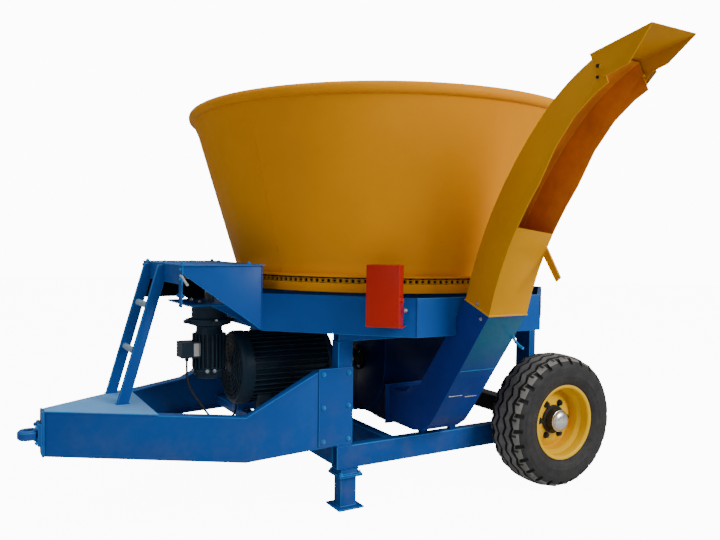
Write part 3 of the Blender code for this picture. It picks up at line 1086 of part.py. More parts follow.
def build_wheels(root):
    """Two wheels on their spindles, each with tyre, deep rim and capped hub; out is away from the frame."""
    for name, side in (("left", 1), ("right", -1)):
        carrier = empty_at(f"wheel_axis_{name}", (WHEEL_X, side * WHEEL_Y, WHEEL_R), parent=root)
        build_tyre(f"tyre_{name}", carrier)
        seat = BEAD_SEAT_R - FIT
        edge = TYRE_HALF_BEAD + FIT
        t = RIM_SHEET
        inner_half = (WELL_HALF + SEAT_HALF) / 2
        barrel = turned((
            (RIM_FLANGE_R, -edge - t), (RIM_FLANGE_R, -edge), (seat, -edge), (seat, -SEAT_HALF),
            (WELL_R, -WELL_HALF), (WELL_R, WELL_HALF), (seat, SEAT_HALF), (seat, edge), (RIM_FLANGE_R, edge),
            (RIM_FLANGE_R, edge + t), (seat - t, edge + t), (WELL_R - t, inner_half),
            (WELL_R - t, -inner_half), (seat - t, -edge - t)), 24, "Y")
        rim = fuse(barrel, turned(DISC_ROWS, 24, "Y"))
        hub = turned(HUB_ROWS, 20, "Y", ring=False)
        if side < 0:
            move(rim, Matrix.Diagonal((1, -1, 1, 1)))
            move(hub, Matrix.Diagonal((1, -1, 1, 1)))
        finish(rim, f"wheel_rim_{name}", "yellow_paint", carrier)
        finish(hub, f"wheel_hub_{name}", "black_paint", carrier)


def box_centre():
    """Bottom centre of everything built, in the machine frame."""
    bpy.context.view_layer.update()
    points = [item.matrix_world @ Vector(corner) for item in bpy.data.objects if item.type == "MESH"
              for corner in item.bound_box]
    low = [min(point[k] for point in points) for k in range(3)]
    high = [max(point[k] for point in points) for k in range(3)]
    return Vector(((low[0] + high[0]) / 2, (low[1] + high[1]) / 2, low[2]))


def main():
    clear_scene()
    root = empty_at("machine", (0, 0, 0))
    tub_axis = empty_at("tub_axis", (0, 0, 0), parent=root)
    build_tub(tub_axis)
    build_pin_ring(tub_axis)
    build_sprocket(empty_at("sprocket_axis", (SPROCKET_X, 0, 0), parent=root))
    build_pan(root)
    build_rollers(root)
    build_guards(root)
    build_drive_housing(root)
    build_gear_motor(root)
    build_main_motor(root)
    build_motor_base(root)
    build_motor_cable(root)
    build_mill(root)
    build_rotor(empty_at("rotor_axis", (0, 0, SHAFT_Z), parent=root))
    build_duct(root)
    build_chute(root)
    pivot = pivot_point()
    build_deflector(empty_at("deflector_axis", (0, pivot[0], pivot[1]), parent=root))
    build_drawbar(root)
    build_ladder(root)
    build_frame(root)
    build_legs(root)
    build_axle(root)
    build_wheels(root)
    root.location = -box_centre()
    bpy.context.view_layer.update()


main()
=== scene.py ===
"""Finish of the tub bale shredder: fine shapes, fasteners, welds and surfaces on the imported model, in metres.

Sizes are given in the machine frame of the model: origin on the ground under the tub's axis, +X to the rear,
-Y towards the discharge chute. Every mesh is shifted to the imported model's frame when it is finished.
"""
import json
import math

import bmesh
import bpy
from mathutils import Matrix, Vector

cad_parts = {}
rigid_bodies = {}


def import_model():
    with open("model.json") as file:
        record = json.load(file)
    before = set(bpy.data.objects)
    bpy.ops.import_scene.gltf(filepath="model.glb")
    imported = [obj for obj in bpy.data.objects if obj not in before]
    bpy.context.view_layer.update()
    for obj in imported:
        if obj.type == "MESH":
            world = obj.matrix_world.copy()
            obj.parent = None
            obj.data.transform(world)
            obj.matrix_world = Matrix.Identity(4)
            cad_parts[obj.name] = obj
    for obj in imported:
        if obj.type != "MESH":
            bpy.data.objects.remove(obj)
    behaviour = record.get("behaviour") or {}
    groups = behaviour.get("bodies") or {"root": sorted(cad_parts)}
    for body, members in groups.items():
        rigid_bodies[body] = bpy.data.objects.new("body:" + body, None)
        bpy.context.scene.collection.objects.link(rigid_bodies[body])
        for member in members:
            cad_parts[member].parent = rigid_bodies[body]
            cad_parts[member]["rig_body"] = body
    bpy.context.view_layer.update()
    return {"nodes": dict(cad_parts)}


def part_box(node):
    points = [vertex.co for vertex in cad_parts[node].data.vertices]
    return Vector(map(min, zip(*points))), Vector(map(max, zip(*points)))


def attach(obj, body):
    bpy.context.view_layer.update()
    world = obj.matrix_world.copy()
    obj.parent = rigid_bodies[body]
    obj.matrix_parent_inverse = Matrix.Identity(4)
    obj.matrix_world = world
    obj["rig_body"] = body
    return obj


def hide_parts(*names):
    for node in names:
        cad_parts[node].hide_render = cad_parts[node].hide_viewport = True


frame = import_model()

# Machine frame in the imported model's frame
TUB_LOW, TUB_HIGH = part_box("tub_wall")
SHIFT = Vector(((TUB_LOW.x + TUB_HIGH.x) / 2, (TUB_LOW.y + TUB_HIGH.y) / 2, 0.0))

# Photograph and camera
PHOTO_WIDTH = 720
CAMERA_AT = (-2.305, -3.701, 1.373)
CAMERA_YAW, CAMERA_PITCH, CAMERA_ROLL = 30.0964, -2.0658, 0.7741
FOCAL_PIXELS = 695.08
SENSOR = 36.0
FLOOR_REACH = 30.0
# Lights: name, place, aim, size, power
LIGHTS = (
    ("key_light", (2.2, -6.4, 4.2), (0.0, 0.0, 1.0), 3.0, 450.0),
    ("fill_light", (-6.5, -3.5, 3.0), (0.0, 0.0, 1.4), 3.0, 45.0),
    ("top_light", (-0.5, 0.5, 6.5), (0.0, 0.0, 0.8), 4.0, 160.0),
)

# Motor cable: the route of the model
CABLE_R = 0.006
CABLE_ROUTE = (
    (-1.235, 0.0, 0.7324), (-1.235, 0.0, 0.7), (-1.233, 0.0, 0.65), (-1.222, 0.0, 0.6),
    (-1.199, 0.0, 0.552), (-1.166, 0.0, 0.505), (-1.13, 0.001, 0.452), (-1.095, 0.004, 0.41),
    (-1.05, 0.01, 0.38), (-0.997, 0.022, 0.38), (-0.95, 0.045, 0.403), (-0.925, 0.08, 0.432),
    (-0.922, 0.125, 0.463), (-0.925, 0.175, 0.507), (-0.928, 0.215, 0.565), (-0.928, 0.24, 0.63),
    (-0.925, 0.247, 0.695), (-0.908, 0.24, 0.75), (-0.88, 0.22, 0.79), (-0.848, 0.205, 0.805),
    (-0.8123, 0.205, 0.805),
)
CABLE_STEP, CABLE_SIDES = 0.012, 20

# Tub
TUB_SEGMENTS = 180
TUB_BASE_R, TUB_BASE_Z = 0.865, 1.134
TUB_RIM_R, TUB_RIM_Z = 1.165, 2.125
TUB_SHEET = 0.004
RIM_BEAD_OUT, RIM_BEAD_HEIGHT = 0.018, 0.058
BAND_R, BAND_WALL = 0.925, 0.014
TUB_SEAM_TURNS = (-158.0, -68.0, 22.0, 112.0)
FIN_COUNT, FIN_DEPTH, FIN_THICKNESS = 3, 0.07, 0.008
FIN_FOOT_Z, FIN_TOP_Z = 1.24, 1.82
WALL_ROWS, BEAD_ROWS, RIM_ROLL = 14, 9, 0.008
# Painted near black: grease, and painted shade in the recess behind the chain.
GREASE_AND_SHADE_ROWS = (9, 10)  # rows of the section behind the chain

# Roller chain round the tub
LINK_COUNT, LINK_PITCH = 180, 0.03175
CHAIN_R = LINK_COUNT * LINK_PITCH / (2 * math.pi)
CHAIN_INNER_R = CHAIN_R - 0.013
CHAIN_Z, CHAIN_HEIGHT = 1.192, 0.024
CHAIN_ROLLER_R, CHAIN_PIN_R, LINK_PLATE = 0.0093, 0.0045, 0.0028
LINK_WIDE, LINK_WAIST = 0.0105, 0.0078

# Wheels: sizes, and sections as radius and place across
WHEEL_AT = (0.679, 0.789, 0.38)
TYRE_R, TREAD_PITCHES, TREAD_DEPTH, ZIGZAG = 0.3795, 26, 0.015, 0.011
CROWN_HALF, CROWN_DROP, SHOULDER_DROP, SHOULDER, SWAY_END = 0.088, 0.0115, 0.0265, 0.031, 0.0835
SLOT_DEPTH, SLOT_SHARE = 0.019, (0.02, 0.27)
PHASES = (0.0, 0.035, 0.255, 0.285, 0.38, 0.5, 0.535, 0.755, 0.785, 0.88)
NUT_COUNT, NUT_CIRCLE, NUT_R = 6, 0.1025, 0.0155
RIB, SLOTTED = 1.0, 2.0  # how a point of the tread is cut
TREAD_SECTION = (
    (0.0, 0.0), (0.018, 0.0), (0.02, RIB), (0.0335, RIB), (0.0355, 0.0), (0.064, 0.0), (0.066, RIB),
    (0.0785, RIB), (0.0805, 0.0), (0.0815, 0.2), (0.083, SLOTTED), (0.1, SLOTTED), (0.112, SLOTTED),
    (0.119, SLOTTED),
)
TYRE_WALL = (
    (0.331, 0.1245), (0.3185, 0.128), (0.314, 0.1292), (0.3125, 0.1308), (0.296, 0.1318), (0.285, 0.132),
    (0.269, 0.1312), (0.2665, 0.1318), (0.264, 0.13), (0.249, 0.1262), (0.237, 0.1205), (0.234, 0.1178),
    (0.2255, 0.113), (0.219, 0.1075), (0.2178, 0.1052), (0.1978, 0.105),
)
RIM = (
    (0.2135, -0.1098), (0.212, -0.1058), (0.206, -0.1053), (0.1985, -0.103), (0.1968, -0.098), (0.1968, -0.052),
    (0.178, -0.031), (0.178, 0.031), (0.1968, 0.052), (0.1968, 0.098), (0.1985, 0.103), (0.206, 0.1053),
    (0.212, 0.1058), (0.2135, 0.1078), (0.2132, 0.1092), (0.2112, 0.1103), (0.2072, 0.1102), (0.203, 0.109),
    (0.1985, 0.1068), (0.1948, 0.1032), (0.1925, 0.0975), (0.1918, 0.056), (0.174, 0.038), (0.1728, 0.033),
    (0.1728, -0.033), (0.174, -0.038), (0.1918, -0.056), (0.1922, -0.103), (0.195, -0.108), (0.203, -0.1102),
    (0.2115, -0.1103),
)
DISC = (
    (0.06, 0.0065), (0.112, 0.0065), (0.13, 0.0), (0.155, -0.02), (0.164, -0.025), (0.176, -0.0258),
    (0.176, -0.0182), (0.165, -0.017), (0.159, -0.013), (0.134, 0.0075), (0.116, 0.014), (0.06, 0.014),
)
HUB = (
    (0.0262, -0.0625), (0.0595, -0.0625), (0.0595, 0.0143), (0.08, 0.0143), (0.082, 0.016), (0.082, 0.0245),
    (0.08, 0.0263), (0.072, 0.0275), (0.069, 0.031), (0.067, 0.056), (0.065, 0.06), (0.064, 0.069),
    (0.062, 0.07), (0.0262, 0.07),
)
HUB_CAP = ((0.06, 0.0702), (0.0618, 0.071), (0.0618, 0.0738), (0.06, 0.0748), *(
    (0.059 * math.cos(math.radians(t)), 0.075 + 0.0265 * math.sin(math.radians(t))) for t in range(0, 90, 10)),
    (0.0, 0.1017))

# Motors
SHAFT_Z = 0.68
GEAR_X = -(LINK_COUNT + 40) * LINK_PITCH / (2 * math.pi)
GEAR_TOP = 1.0447
MOTOR_R, MOTOR_FIN_R, COWL_R = 0.176, 0.201, 0.2055
MOTOR_FINS, GEAR_FINS, GRILLE_RINGS, GRILLE_SPOKES = 40, 24, 6, 8
GEAR_BOLT_TURNS = (0.0, 90.0, 180.0, 247.0, 272.0)
# Turned parts of the motors: radius with place on the shaft, or with drop from the gear motor's flange
MOTOR_COWL = ((0.176, -0.99), (0.192, -0.986), (0.201, -0.976), (COWL_R, -0.964), (COWL_R, -0.919),
              (COWL_R - 0.002, -0.9182), (COWL_R - 0.004, -0.919), (COWL_R - 0.004, -0.962), (0.19, -0.98),
              (0.176, -0.987))
MOTOR_BELL = ((0.0, -0.468), (0.198, -0.468), (COWL_R, -0.462), (COWL_R, -0.44), (0.198, -0.433),
              (0.165, -0.418), (0.118, -0.405), (0.108, -0.398), (0.106, -0.388), (0.103, -0.385),
              (0.032, -0.385), (0.032, -0.41), (0.0, -0.41))
DATA_PLATE = ((-1.2125, -1.178), (-0.0558, -0.0543), (0.764, 0.833))
MOTOR_GLAND = ((0.0, -0.812), (0.0085, -0.812), (0.011, -0.8085), (0.011, -0.789), (0.0, -0.789))
GEAR_BODY = ((0.0, 0.012), (0.0262, 0.012), (0.0262, 0.0), (0.123, 0.0), (0.125, 0.002), (0.125, 0.014),
             (0.123, 0.016), (0.1, 0.0185), (0.095, 0.024), (0.095, 0.074), (0.1, 0.08), (0.116, 0.084),
             (0.118, 0.086), (0.118, 0.11), (0.116, 0.112), (0.08, 0.123), (0.07, 0.128),
             (0.07, 0.148), (0.072, 0.1515), (0.0745, 0.156), (0.0745, 0.359), (0.085, 0.36),
             (0.085, 0.364), (0.078, 0.367), (0.0775, 0.396), (0.074, 0.402), (0.06, 0.4078), (0.0, 0.4078))

# Pan, chute and duct
PAN_CORNER_R = 0.966 / math.cos(math.radians(22.5))
PAN_Z = (0.93, 1.12)
DUCT_X = (-0.16, 0.075)
CHUTE_START, CHUTE_FIRST, CHUTE_SECOND = (-1.03, 1.111), (16.0, 46.0, 1.86), (46.0, 68.0, 0.9)
CHUTE_SHEET, CHUTE_DEPTH = 0.004, 0.186
DUCT_FACE = (0.8087, 0.5882, -0.3606)
LINK_PLATE_SOLID = (((-1.818, 2.082), (-1.868, 2.1), (-1.884, 2.081), (-1.889, 2.07), (-1.858, 2.041),
                     (-1.824, 2.006), (-1.812, 2.014), (-1.806, 2.04)), "X", 0.0842, 0.0872)
PIN_HANDLE = ((-1.388, -0.42, 1.215), (-1.388, -0.45, 1.211), (-1.388, -0.492, 1.192), (-1.388, -0.533, 1.178))
CORD_HOOK = [(DUCT_X[1] + 0.0065, y, z) for y, z in (
    (-1.06, 0.962), (-1.085, 0.962), (-1.104, 0.946), (-1.118, 0.914), (-1.147, 0.892), (-1.182, 0.879))]

# Near-black screen on the far side of the drive housing, a sheet put there as painted shade
DRIVE_SHADE_SCREEN = (((-1.366, 1.23), (-1.366, 1.056), (-1.128, 1.056), (-1.128, 1.066)), "Y", 0.3905, 0.3935)

# Corners taken off the chute's lip and the deflector's cheeks, in the Y-Z plane
CHUTE_LIP_CUT = ((-1.508, 1.64), (-1.6, 1.79), (-1.702, 1.903), (-1.8, 1.973), (-1.86, 2.002),
                 (-1.9, 2.018), (-1.96, 2.018), (-1.96, 1.6), (-1.508, 1.6))
CHEEK_CUT = ((-2.056, 2.1735), (-1.955, 2.045), (-1.955, 2.0), (-2.1, 2.0), (-2.1, 2.1735))
FAR_CHEEK_CUT = ((-2.056, 2.1735), (-1.94, 2.09), (-1.872, 2.074), (-1.85, 2.05), (-1.82, 2.0),
                 (-2.1, 2.0), (-2.1, 2.1735))

# Rounding: segments, and angles in degrees
BEVEL_SEGMENTS, BEVEL_FROM, SHARP, GROUP_SHARP = 2, 34.0, 32.0, 35.0
SAME_POINT, FLAT = 0.00002, 0.8

# Screws and welds
HEAD_R = 0.009
UP, DOWN, FORWARD, BACK = (0.0, 0.0, 1.0), (0.0, 0.0, -1.0), (-1.0, 0.0, 0.0), (1.0, 0.0, 0.0)
DECK_SCREWS = ((-1.36, -0.02), (-1.215, -0.02), (-1.065, -0.02), (-1.0, -0.3), (-1.0, 0.3),
               (-1.36, -0.36), (-1.36, 0.36))


def machine(x, y, z):
    """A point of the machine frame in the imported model's frame."""
    return Vector((x, y, z)) + SHIFT


def heading(turn):
    """Cosine and sine of a turn in degrees."""
    return math.cos(math.radians(turn)), math.sin(math.radians(turn))


# Surfaces

MIX_FIRST, MIX_SECOND, MIX_RESULT = 6, 7, 2  # sockets of a mix node that mixes colours
DUST, DUST_TOP = (0.2, 0.17, 0.13), 0.7
PRIMER = (0.05, 0.045, 0.04)


def add_node(tree, kind, preset=(), **values):
    """A node with its properties and the start values of its inputs set."""
    node = tree.nodes.new(kind)
    for key, value in values.items():
        setattr(node, key, value)
    for key, value in dict(preset).items():
        node.inputs[key].default_value = value
    return node


def wire(tree, *ends):
    """Link sockets two by two, the first of each pair to the second."""
    for start, end in zip(ends[::2], ends[1::2]):
        tree.links.new(start, end)


def calculate(tree, operation, *terms):
    """Result of a sum over sockets and numbers."""
    node = add_node(tree, "ShaderNodeMath", operation=operation)
    for slot, term in zip(node.inputs, terms):
        if isinstance(term, float):
            slot.default_value = term
        else:
            wire(tree, term, slot)
    return node.outputs[0]


def object_noise(tree, scale, detail, roughness=0.6):
    """Noise over the object's own coordinates."""
    place = add_node(tree, "ShaderNodeTexCoord")
    noise = add_node(tree, "ShaderNodeTexNoise", {"Scale": scale, "Detail": detail, "Roughness": roughness})
    wire(tree, place.outputs["Object"], noise.inputs["Vector"])
    return noise.outputs["Fac"]


def remap(tree, value, *limits):
    """Stretch a value from one low and high to another low and high."""
    names = ("From Min", "From Max", "To Min", "To Max")
    node = add_node(tree, "ShaderNodeMapRange", zip(names, limits), clamp=True)
    wire(tree, value, node.inputs["Value"])
    return node.outputs["Result"]


def patches(tree, scale, detail, low, high, most=1.0, roughness=0.6):
    """Share that comes and goes in patches."""
    return remap(tree, object_noise(tree, scale, detail, roughness), low, high, 0.0, most)


def blend_colours(tree, share, first, second):
    """Mix two colours, each a tuple or a socket, by a share."""
    node = add_node(tree, "ShaderNodeMix", data_type="RGBA")
    wire(tree, share, node.inputs["Factor"])
    for slot, colour in ((node.inputs[MIX_FIRST], first), (node.inputs[MIX_SECOND], second)):
        if isinstance(colour, tuple):
            slot.default_value = (*colour, 1.0)
        else:
            wire(tree, colour, slot)
    return node.outputs[MIX_RESULT]


def by_height(tree, *limits, output="Object"):
    """Value that runs between two heights: low, high, value at low, value at high."""
    place = add_node(tree, "ShaderNodeTexCoord")
    split = add_node(tree, "ShaderNodeSeparateXYZ")
    wire(tree, place.outputs[output], split.inputs["Vector"])
    return remap(tree, split.outputs["Z"], *limits)


def new_surface(name, metallic=0.0):
    """A material, its tree and its Principled shader."""
    made = bpy.data.materials.new(name)
    made.use_nodes = True
    shader = made.node_tree.nodes["Principled BSDF"]
    shader.inputs["Metallic"].default_value = metallic
    return made, made.node_tree, shader


def cover(tree, shader, colour, rough, bump):
    """Link a colour, uneven roughness (scale, detail, limits) and bump (scale, detail, strength, distance)."""
    scale, detail, low, high = rough
    gloss = remap(tree, object_noise(tree, scale, detail), 0.3, 0.7, low, high)
    scale, detail, strength, distance = bump
    lift = add_node(tree, "ShaderNodeBump", {"Strength": strength, "Distance": distance})
    wire(tree, colour, shader.inputs["Base Color"], gloss, shader.inputs["Roughness"],
         object_noise(tree, scale, detail), lift.inputs["Height"], lift.outputs["Normal"], shader.inputs["Normal"])


def sprayed_paint(name, colour, shade, gloss=0.4, chipped=0.74, shine=0.18, dusty=0.3, lit_upwards=None):
    """Sprayed machine paint: uneven tone, dust low down, small chips, orange-peel bump; may turn paler upwards as
    painted light.
    """
    made, tree, shader = new_surface(name)
    tone = blend_colours(tree, patches(tree, 1.7, 5.0, 0.35, 0.65), colour, shade)
    # Painted light: the colour turns paler towards the top of a band of heights.
    if lit_upwards:
        low, high, pale = lit_upwards
        tone = blend_colours(tree, by_height(tree, low, high, 0.0, 1.0), tone, pale)
    dust = calculate(tree, "MULTIPLY", by_height(tree, 0.0, DUST_TOP, dusty, 0.0),
                     patches(tree, 7.0, 8.0, 0.42, 0.72))
    chips = patches(tree, 55.0, 3.0, chipped, chipped + 0.03, 0.8, 0.75)
    shader.inputs["Specular IOR Level"].default_value = shine
    cover(tree, shader, blend_colours(tree, chips, blend_colours(tree, dust, tone, DUST), PRIMER),
          (11.0, 6.0, gloss - 0.07, gloss + 0.12), (240.0, 2.0, 0.1, 0.0006))
    return made


def mottled(name, colours, patch, rough, bump, metallic=0.0):
    """Surface of two colours in patches."""
    made, tree, shader = new_surface(name, metallic)
    cover(tree, shader, blend_colours(tree, patches(tree, *patch), *colours), rough, bump)
    return made


def worn_steel(name, colour, stain, gloss=0.38, metallic=1.0, grain=160.0):
    """Bare or plated steel with stains and a fine grain."""
    return mottled(name, (colour, stain), (18.0, 8.0, 0.45, 0.7, 1.0, 0.7),
                   (30.0, 6.0, gloss - 0.08, gloss + 0.18), (grain, 4.0, 0.2, 0.0008), metallic)


def moulded_rubber(name, colour, dust, dusty):
    """Rubber with dust in its hollows and a fine skin."""
    return mottled(name, (colour, dust), (13.0, 9.0, 0.4, 0.75, dusty, 0.7), (22.0, 5.0, 0.62, 0.86),
                   (420.0, 3.0, 0.22, 0.0007))


YELLOW = sprayed_paint("tub_yellow", (0.72, 0.275, 0.0002), (0.66, 0.25, 0.0002), gloss=0.46, shine=0.1)
CHUTE_YELLOW = sprayed_paint("chute_yellow", (0.58, 0.255, 0.0003), (0.53, 0.23, 0.0003), gloss=0.46, shine=0.1)
# Paler yellow for rounded edges: painted highlight.
YELLOW_HIGHLIGHT = sprayed_paint("tub_yellow_highlight", (0.8, 0.42, 0.004), (0.74, 0.38, 0.003), gloss=0.42)
WHEEL_YELLOW = sprayed_paint("wheel_yellow", (0.82, 0.48, 0.0002), (0.76, 0.43, 0.0002), gloss=0.32, chipped=0.8,
                             shine=0.2, dusty=0.08)
BLUE = sprayed_paint("frame_blue", (0.0005, 0.075, 0.33), (0.0005, 0.06, 0.285))
# Darker blue of the duct under the pan: painted shade.
DUCT_SHADE_BLUE = sprayed_paint("duct_shade_blue", (0.003, 0.026, 0.235), (0.002, 0.02, 0.19))
# Outer wall of the duct: dark paint as painted shade low down, turning paler towards the top as painted light.
DUCT_BAND = sprayed_paint("duct_band_blue", (0.002, 0.034, 0.225), (0.0015, 0.026, 0.185),
                          lit_upwards=(0.7, 0.92, (0.01, 0.105, 0.2)))
# Near-black blue of the mill housing under the pan: painted shade.
MILL_SHADE_BLUE = sprayed_paint("mill_shade_blue", (0.0008, 0.009, 0.066), (0.0006, 0.006, 0.045))
# Near-black blue on the inner faces of the drive housing, the underside of its deck and its screen: painted shade.
SHADE_BLUE = sprayed_paint("painted_shade_blue", (0.001, 0.006, 0.016), (0.003, 0.004, 0.006), gloss=0.5, shine=0.1)
# Paler blue of the drawbar's top plate: painted light, the upward face lit by the sky, over the same blue paint.
TOP_LIT_BLUE = sprayed_paint("top_lit_blue", (0.15, 0.39, 0.72), (0.09, 0.29, 0.62), gloss=0.46)
# Paler copies of the blue, red, motor and black paints, laid on rounded edges: painted highlights; the paler blue
# also paints screws, a weld and the duct's cord hook.
BLUE_HIGHLIGHT = sprayed_paint("frame_blue_highlight", (0.02, 0.23, 0.6), (0.012, 0.18, 0.52), gloss=0.44)
RED = sprayed_paint("guard_red", (0.46, 0.012, 0.006), (0.38, 0.01, 0.005))
RED_HIGHLIGHT = sprayed_paint("guard_red_highlight", (0.6, 0.03, 0.015), (0.54, 0.025, 0.012), gloss=0.44)
MOTOR = sprayed_paint("motor_enamel", (0.012, 0.03, 0.052), (0.008, 0.02, 0.034), gloss=0.42, chipped=0.8)
MOTOR_HIGHLIGHT = sprayed_paint("motor_enamel_highlight", (0.045, 0.085, 0.12), (0.03, 0.06, 0.09), gloss=0.46)
BLACK = sprayed_paint("axle_black", (0.01, 0.01, 0.011), (0.018, 0.017, 0.016), gloss=0.46)
BLACK_HIGHLIGHT = sprayed_paint("axle_black_highlight", (0.035, 0.034, 0.033), (0.028, 0.027, 0.026), gloss=0.5)
STEEL = worn_steel("milled_steel", (0.42, 0.41, 0.39), (0.2, 0.15, 0.11))
ZINC = worn_steel("zinc_plate", (0.6, 0.62, 0.62), (0.42, 0.42, 0.4), gloss=0.34, grain=60.0)
CAP_SILVER = worn_steel("cap_silver", (0.72, 0.72, 0.7), (0.55, 0.54, 0.52), gloss=0.24, grain=40.0)
# Near-black steel: grease on the chain's seat, and painted shade there, inside the motor's cowl and in the screw
# holes of the deflector and chute.
GREASE_AND_SHADE = worn_steel("grease_and_shade_steel", (0.02, 0.017, 0.014), (0.01, 0.009, 0.008), gloss=0.45, metallic=0.2)
RUNG = worn_steel("worn_rung", (0.33, 0.45, 0.52), (0.16, 0.28, 0.42), gloss=0.42, metallic=0.25, grain=80.0)
TYRE = moulded_rubber("tyre_rubber", (0.013, 0.0125, 0.0125), (0.06, 0.056, 0.052), 0.35)
TREAD = moulded_rubber("dusty_tread", (0.13, 0.127, 0.116), (0.28, 0.27, 0.24), 0.8)
SHEATH = moulded_rubber("cable_sheath", (0.012, 0.012, 0.012), (0.035, 0.033, 0.03), 0.4)
# Inside of the chute: paint scoured to an orange brown by the straw
LINING = mottled("chute_lining", ((0.7, 0.23, 0.004), (0.48, 0.14, 0.004)), (5.0, 8.0, 0.35, 0.7, 1.0, 0.7),
                 (16.0, 6.0, 0.45, 0.7), (90.0, 4.0, 0.2, 0.0008))
CHAIN_PAINT = sprayed_paint("chain_yellow", (0.62, 0.3, 0.01), (0.34, 0.16, 0.012), gloss=0.45, chipped=0.66)
PLATE = worn_steel("blank_plate", (0.48, 0.47, 0.45), (0.4, 0.39, 0.37), gloss=0.4, metallic=0.3, grain=50.0)


# Mesh helpers: a shape is a bmesh in the machine frame

def along(axis, distance, a, b):
    """A point from its place on an axis and its two coordinates across."""
    return {"X": (distance, a, b), "Y": (a, distance, b), "Z": (a, b, distance)}[axis]


def skin(shape, rings, wrap=False):
    """Add a closed loft through rings of points; wrap joins the last ring to the first."""
    rows = [[shape.verts.new(point) for point in ring] for ring in rings]
    pairs = list(zip(rows, rows[1:])) + ([(rows[-1], rows[0])] if wrap else [])
    made = []
    for low, high in pairs:
        count = max(len(low), len(high))
        for i in range(count):
            j = (i + 1) % count
            if len(low) == 1:
                corners = (low[0], high[j], high[i])
            elif len(high) == 1:
                corners = (low[i], low[j], high[0])
            else:
                corners = (low[i], low[j], high[j], high[i])
            made.append(shape.faces.new(corners))
    if not wrap:
        made.extend(shape.faces.new(row) for row in (rows[0], rows[-1]) if len(row) > 1)
    return made


def circle(radius, count, centre=(0.0, 0.0)):
    """Points of a circle in the plane across an axis."""
    turns = [2 * math.pi * k / count for k in range(count)]
    return [(centre[0] + radius * math.cos(t), centre[1] + radius * math.sin(t)) for t in turns]


def turn_profile(shape, profile, count, axis, centre=(0.0, 0.0)):
    """Add a turned solid; rows are radius and place on the axis, and radius 0 closes on the axis."""
    rings = []
    for radius, distance in profile:
        points = [centre] if radius < 1e-6 else circle(radius, count, centre)
        rings.append([along(axis, distance, a, b) for a, b in points])
    return skin(shape, rings, wrap=min(profile)[0] > 0.0)


def add_prism(shape, outline, axis, low, high):
    """Add an outline drawn out along an axis."""
    return skin(shape, [[along(axis, end, a, b) for a, b in outline] for end in (low, high)])


def add_box(shape, x, y, z):
    """Add a box between pairs of limits."""
    x, y, z = sorted(x), sorted(y), sorted(z)
    return add_prism(shape, ((x[0], y[0]), (x[1], y[0]), (x[1], y[1]), (x[0], y[1])), "Z", *z)


def add_pipe(shape, points, radius, count):
    """Add a round bar that follows points."""
    path = [Vector(point) for point in points]
    side = (path[1] - path[0]).normalized().orthogonal().normalized()
    rings = []
    for k, point in enumerate(path):
        ahead = (path[min(k + 1, len(path) - 1)] - path[max(k - 1, 0)]).normalized()
        side = (side - ahead * side.dot(ahead)).normalized()
        up = ahead.cross(side)
        rings.append([point + side * a + up * b for a, b in circle(radius, count)])
    return skin(shape, rings)


def shape_of(build, *values):
    """A new shape with one solid in it."""
    shape = bmesh.new()
    build(shape, *values)
    return shape


def mirrored(shape):
    """Turn a shape over to the other side of the middle plane."""
    bmesh.ops.transform(shape, matrix=Matrix.Diagonal((1, -1, 1, 1)), verts=shape.verts)
    bmesh.ops.reverse_faces(shape, faces=shape.faces)


def swing(shape, faces, angle, axis, centre=(0.0, 0.0, 0.0)):
    """Turn part of a shape about an axis through the origin, then move it."""
    points = list({vert for face in faces for vert in face.verts})
    bmesh.ops.transform(shape, matrix=Matrix.Rotation(angle, 4, axis), verts=points)
    bmesh.ops.translate(shape, verts=points, vec=Vector(centre))


def dress(piece, body, replaces=()):
    """Hang a finished piece from its body and hide the CAD nodes it replaces."""
    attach(piece, body)
    if replaces:
        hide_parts(*replaces)
    return piece


def add_object(name, mesh, surfaces=()):
    """An object in the scene with its surfaces."""
    for surface in surfaces:
        mesh.materials.append(surface)
    piece = bpy.data.objects.new(name, mesh)
    bpy.context.scene.collection.objects.link(piece)
    return piece


def to_mesh(name, shape):
    """Turn a shape into a mesh."""
    mesh = bpy.data.meshes.new(name)
    shape.to_mesh(mesh)
    shape.free()
    return mesh


def finish_shape(name, shape, surfaces, sharp=SHARP):
    """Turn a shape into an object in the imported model's frame."""
    bmesh.ops.recalc_face_normals(shape, faces=shape.faces)
    bmesh.ops.translate(shape, verts=shape.verts, vec=SHIFT)
    piece = add_object(name, to_mesh(name, shape), surfaces)
    piece.data.shade_smooth()
    piece.data.set_sharp_from_angle(angle=math.radians(sharp))
    return piece


def applied(piece):
    """Keep what a piece's modifiers make as its mesh and take them off."""
    piece.update_tag()
    bpy.context.view_layer.update()
    seen = piece.evaluated_get(bpy.context.evaluated_depsgraph_get())
    piece.data = bpy.data.meshes.new_from_object(seen)
    piece.modifiers.clear()
    return piece


def with_bevel(piece, width):
    """Round a piece's edges and give the rounding the second surface, for most pieces a paler paint that paints a
    highlight on the edges.
    """
    step = piece.modifiers.new("rounded edges", "BEVEL")
    step.width = width
    step.segments = BEVEL_SEGMENTS
    step.limit_method = "ANGLE"
    step.angle_limit = math.radians(BEVEL_FROM)
    step.material = 1
    step.harden_normals = True
    step.use_clamp_overlap = False
    return applied(piece)


def make_piece(name, shape, surfaces, body, replaces=(), bevel=None, sharp=SHARP):
    """Finish a shape, round its edges where asked and hang it from its body."""
    piece = finish_shape(name, shape, surfaces, sharp)
    return dress(with_bevel(piece, bevel) if bevel else piece, body, replaces)


def cutter(outline, low, high):
    """A solid that takes a corner off a copy: an outline in the Y-Z plane drawn out along X."""
    return finish_shape("cutter", shape_of(add_prism, outline, "X", low, high), [])


